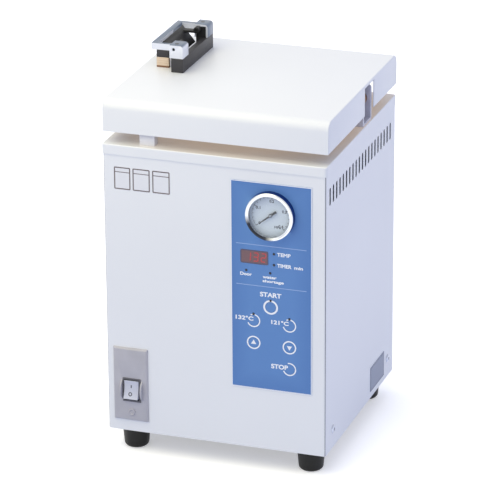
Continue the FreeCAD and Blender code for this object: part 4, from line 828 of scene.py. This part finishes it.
def switchDress():
    x0, z0 = switchValues["centre"]
    x, z, wide, tall = switchValues["bar"]
    bar = ontoFront(strip(wide, tall, ink, 0.2), x0 + x, switchValues["ahead"], z0 + z)
    x, z, radius, stroke = switchValues["ring"]
    ring = ontoFront(arcBand(radius, stroke, 0, 360, ink), x0 + x, switchValues["ahead"], z0 + z)
    marks = gather([bar, ring])
    pressOnto(marks, "rocker", switchValues["lift"])
    finished("rockerMarks", marks, "darkInk", "rocker")
    softened("rockerCap", "rocker", 0.35)
    softened("switchSurround", "rocker_frame", 0.25)
    softened("switchCover", "switch_plate", 0.3)
    x, z = switchValues["plug"]
    plug = ontoFront(turned(switchValues["plugProfile"], 40), x, switchValues["plugFace"], z)
    finished("coverPlug", plug, "greyMoulding", "case")


switchDress()
print("switch dressed")


# Three plain labels on the front

labelValues = {"spans": [(-136.0, -112.0), (-110.7, -85.5), (-83.8, -58.4)], "low": 337.0, "high": 369.0,
               "corner": 2.4, "edge": 0.9, "line": 1.5, "header": 0.24, "headerLine": 0.35, "thick": 0.15,
               "face": -151, "field": (238, 238, 240), "cloudy": (228, 229, 234), "clouds": (5, 0.4),
               "ink": (104, 92, 92), "rough": (0.6, 0.4, 0.52), "relief": (0.6, 0.004)}


def plainLabel(number, left, right):
    middle = ((left + right) / 2, (labelValues["low"] + labelValues["high"]) / 2)
    half = ((right - left) / 2, (labelValues["high"] - labelValues["low"]) / 2)
    look = Look(f"labelSheet{number}", {"Specular IOR Level": 0.4})
    inward = look.insideField("XZ", middle, half, labelValues["corner"])
    outline = (inward > labelValues["edge"]) * (inward < labelValues["edge"] + labelValues["line"])
    headAt = labelValues["high"] - 2 * half[1] * labelValues["header"]
    within = abs(look.height() - headAt) < labelValues["line"] * labelValues["headerLine"]
    header = within * (inward > labelValues["edge"])
    size, amount = labelValues["clouds"]
    paper = look.between(look.cloud(size) * amount, screen(labelValues["field"]),
                         screen(labelValues["cloudy"]))
    look.feed("Base Color", look.between(outline.atLeast(header), paper, screen(labelValues["ink"])))
    looks[f"labelSheet{number}"] = look.skin(labelValues)
    sheet = strip(2 * half[0], 2 * half[1], labelValues["thick"], labelValues["corner"])
    ontoFront(sheet, middle[0], labelValues["face"], middle[1])
    finished(f"plainLabel{number}", sheet, f"labelSheet{number}", "case")


for number, (left, right) in enumerate(labelValues["spans"], 1):
    plainLabel(number, left, right)
print("labels placed")


# Screws of the case, with crossed recesses

screwValues = {"head": [(0.0, 2.2), (2.2, 2.12), (3.9, 1.75), (5.1, 1.05), (5.8, 0.3), (5.8, 0.0), (2.0, 0.0),
                        (2.0, -7.0), (0.0, -7.0)],
               "recess": (4.6, 1.1, 1.5, 0.3), "sideFace": 150, "backFace": 151, "turnStep": 37,
               "sides": [(1, -119.5), (1, 127.0), (-1, -119.5), (-1, 127.0)], "sideHeight": 26.5,
               "back": [(142.8, 30.0), (142.8, 368.0), (-142.8, 30.0), (-142.8, 368.0)]}


def crossScrew():
    # one screw pointing up, its recess cut by two crossed bars
    body = bpy.data.meshes.new("screw")
    shape = turned(screwValues["head"], 40)
    bmesh.ops.recalc_face_normals(shape, faces=shape.faces)
    shape.to_mesh(body)
    shape.free()
    length, width, depth, corner = screwValues["recess"]
    top = screwValues["head"][0][1]
    screw = bpy.data.objects.new("screw", body)
    bpy.context.scene.collection.objects.link(screw)
    spare = []
    for turn in (0, 90):
        bar = strip(length, width, 2 * depth, corner)
        bmesh.ops.recalc_face_normals(bar, faces=bar.faces)
        bmesh.ops.translate(bar, verts=bar.verts, vec=(0, 0, (top - depth) * mm))
        bmesh.ops.rotate(bar, verts=bar.verts, cent=(0, 0, 0),
                         matrix=Matrix.Rotation(math.radians(turn), 3, "Z"))
        cutter = bpy.data.meshes.new("cutter")
        bar.to_mesh(cutter)
        bar.free()
        tool = bpy.data.objects.new("cutter", cutter)
        bpy.context.scene.collection.objects.link(tool)
        change = screw.modifiers.new("recess", "BOOLEAN")
        change.operation = "DIFFERENCE"
        change.object = tool
        spare.append(tool)
    bpy.context.view_layer.update()
    made = bpy.data.meshes.new_from_object(screw.evaluated_get(bpy.context.evaluated_depsgraph_get()))
    for item in spare + [screw]:
        bpy.data.objects.remove(item)
    return made


def caseScrews():
    pattern = crossScrew()
    whole = bmesh.new()
    places = []
    for side, y in screwValues["sides"]:
        at = (side * screwValues["sideFace"], y, screwValues["sideHeight"] + base)
        places.append((Matrix.Rotation(side * math.pi / 2, 4, "Y"), at, y))
    for x, z in screwValues["back"]:
        at = (x, screwValues["backFace"], z + base)
        places.append((Matrix.Rotation(-math.pi / 2, 4, "X"), at, x + z))
    for facing, at, seed in places:
        before = set(whole.verts)
        whole.from_mesh(pattern)
        fresh = [v for v in whole.verts if v not in before]
        turn = Matrix.Rotation(math.radians(seed * screwValues["turnStep"] % 90), 4, "Z")
        bmesh.ops.transform(whole, verts=fresh, matrix=Matrix.Translation(Vector(at) * mm) @ facing @ turn)
    piece = finished("caseScrews", whole, "platedSteel", "case")
    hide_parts("case_screws")


caseScrews()
print("screws turned")


# Lid and latch

def onSideFace(edge):
    # edges of the lid's two side faces
    low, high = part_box("lid_cover")
    return any(all(abs(v.co.x - level) < 1e-5 for v in edge.verts) for level in (low.x, high.x))


# width in millimetres of each piece's broken edges
edgeWidths = {
    "gripFrame": ("handle", 0.5), "latchBase": ("latch_base", 0.5), "squeezePaddle": ("paddle", 0.4),
    "latchShoe": ("latch_shoe", 0.35), "shoePad": ("shoe_pad", 0.4), "doorSensor": ("door_sensor", 0.4),
    "hingeBracket": ("hinge_bracket", 0.3), "hookStrike": ("strike", 0.3), "lockHook": ("lock_hook", 0.4),
    "mainsInlet": ("mains_inlet", 0.3), "steamValve": ("steam_valve", 0.4)}
softened("lidCover", "lid_cover", 1.2, onSideFace, 3)
for name, (node, width) in edgeWidths.items():
    softened(name, node, width)

ribValues = {"left": -103.2, "right": -91.4, "pitch": 1.95, "width": 1.1, "corner": 0.3,
             "low": 475.8, "high": 489.6, "faces": [(4.0, 0.35), (78.5, -0.35)]}


def blockRibs():
    # upright ribs moulded on the inner faces of the two pivot blocks
    bars = []
    count = int((ribValues["right"] - ribValues["left"]) / ribValues["pitch"])
    for face, proud in ribValues["faces"]:
        for number in range(count + 1):
            bar = strip(ribValues["width"], ribValues["high"] - ribValues["low"], abs(proud),
                        ribValues["corner"])
            x = ribValues["left"] + number * ribValues["pitch"]
            ontoFront(bar, x, max(face, face + proud), (ribValues["low"] + ribValues["high"]) / 2)
            bars.append(bar)
    finished("blockRibs", gather(bars), "deepMoulding", "lid")


blockRibs()

bushValues = {"centre": (135.0, 427.0), "inner": 8.05, "outer": 9.5, "edge": 0.4, "span": (14.2, 41.8)}


def yokeBush():
    # bronze bush pressed over the yoke's end, between the hinge's two ears
    near, far = bushValues["span"]
    inner, outer, edge = (bushValues[key] for key in ("inner", "outer", "edge"))
    shape = turned([(inner, 0), (outer - edge, 0), (outer, edge), (outer, far - near - edge),
                    (outer - edge, far - near), (inner, far - near), (inner, 0)])
    x, z = bushValues["centre"]
    finished("hingeBush", ontoFront(shape, x, far, z), "bronzeBush", "lid")


yokeBush()
print("latch dressed")


# Floor, light and camera

stageValues = {"floorSize": 9.0, "floorBounce": (180, 188, 213), "floorGlow": 0.4,
               "sky": (0.65, 0.685, 0.855), "lampColour": (1.0, 0.93, 0.54), "lampAim": (0, -0.1, 0.3),
               "sunStrength": 0.80, "sunSpread": 55,
               "sunFrom": (-0.35, -0.30, 1.0), "boxAt": (-0.3, -0.75, 1.03), "boxSize": 0.8, "boxPower": 2.6,
               "lowAt": (-0.1, -1.7, 0.45), "lowPower": 0.9,
               "cameraAt": (1353.975, -3951.807, 1838.218), "lens": 243.724, "sensor": 36,
               "yaw": 18.9567, "tilt": 68.7476,
               "roll": -0.3369}


def softLamp(name, at, power):
    lamp = bpy.data.lights.new(name, "AREA")
    lamp.size = stageValues["boxSize"]
    lamp.energy = power
    lamp.color = stageValues["lampColour"]
    holder = bpy.data.objects.new(name, lamp)
    holder.location = at
    holder.rotation_euler = (Vector(at) - Vector(stageValues["lampAim"])).to_track_quat("Z", "Y").to_euler()
    bpy.context.scene.collection.objects.link(holder)


def stage():
    scene = bpy.context.scene
    shape = bmesh.new()
    bmesh.ops.create_grid(shape, x_segments=1, y_segments=1, size=stageValues["floorSize"])
    mesh = bpy.data.meshes.new("floor")
    shape.to_mesh(mesh)
    shape.free()
    floor = bpy.data.objects.new("floor", mesh)
    scene.collection.objects.link(floor)
    look = Look("floorPale", {"Roughness": 1.0, "Specular IOR Level": 0.0, "Emission Strength": 1.0})
    seen = look.seen()
    glow = (stageValues["floorGlow"],) * 3 + (1,)
    look.feed("Base Color", look.between(seen, screen(stageValues["floorBounce"]), (1, 1, 1, 1)))
    look.feed("Emission Color", look.between(seen, (0, 0, 0, 1), glow))
    mesh.materials.append(look.material)

    world = bpy.data.worlds.new("studio")
    scene.world = world
    world.use_nodes = True
    tree = world.node_tree
    path = tree.nodes.new("ShaderNodeLightPath")
    seenDirect = tree.nodes.new("ShaderNodeMath")
    seenDirect.operation = "MAXIMUM"
    seenThrough = tree.nodes.new("ShaderNodeMath")
    seenThrough.operation = "MAXIMUM"
    tone = tree.nodes.new("ShaderNodeMix")
    tone.data_type = "RGBA"
    tone.inputs[6].default_value = (*stageValues["sky"], 1)
    tone.inputs[7].default_value = (1, 1, 1, 1)
    tree.links.new(path.outputs["Is Camera Ray"], seenDirect.inputs[0])
    tree.links.new(path.outputs["Is Glossy Ray"], seenDirect.inputs[1])
    tree.links.new(seenDirect.outputs[0], seenThrough.inputs[0])
    tree.links.new(path.outputs["Is Transmission Ray"], seenThrough.inputs[1])
    tree.links.new(seenThrough.outputs[0], tone.inputs[0])
    tree.links.new(tone.outputs[2], tree.nodes["Background"].inputs["Color"])

    sun = bpy.data.lights.new("sun", "SUN")
    sun.energy = stageValues["sunStrength"]
    sun.color = stageValues["lampColour"]
    sun.angle = math.radians(stageValues["sunSpread"])
    lamp = bpy.data.objects.new("sun", sun)
    lamp.rotation_euler = Vector(stageValues["sunFrom"]).to_track_quat("Z", "Y").to_euler()
    scene.collection.objects.link(lamp)

    softLamp("softBox", stageValues["boxAt"], stageValues["boxPower"])
    softLamp("lowFill", stageValues["lowAt"], stageValues["lowPower"])

    view = bpy.data.cameras.new("camera")
    view.lens = stageValues["lens"]
    view.sensor_width = stageValues["sensor"]
    camera = bpy.data.objects.new("camera", view)
    turn = (Matrix.Rotation(math.radians(stageValues["yaw"]), 4, "Z")
            @ Matrix.Rotation(math.radians(stageValues["tilt"]), 4, "X")
            @ Matrix.Rotation(math.radians(stageValues["roll"]), 4, "Z"))
    at = Vector(stageValues["cameraAt"]) + Vector((0, 0, base))
    camera.matrix_world = Matrix.Translation(at * mm) @ turn
    scene.collection.objects.link(camera)
    scene.camera = camera
    scene.view_settings.view_transform = "Standard"


stage()
print("stage set")
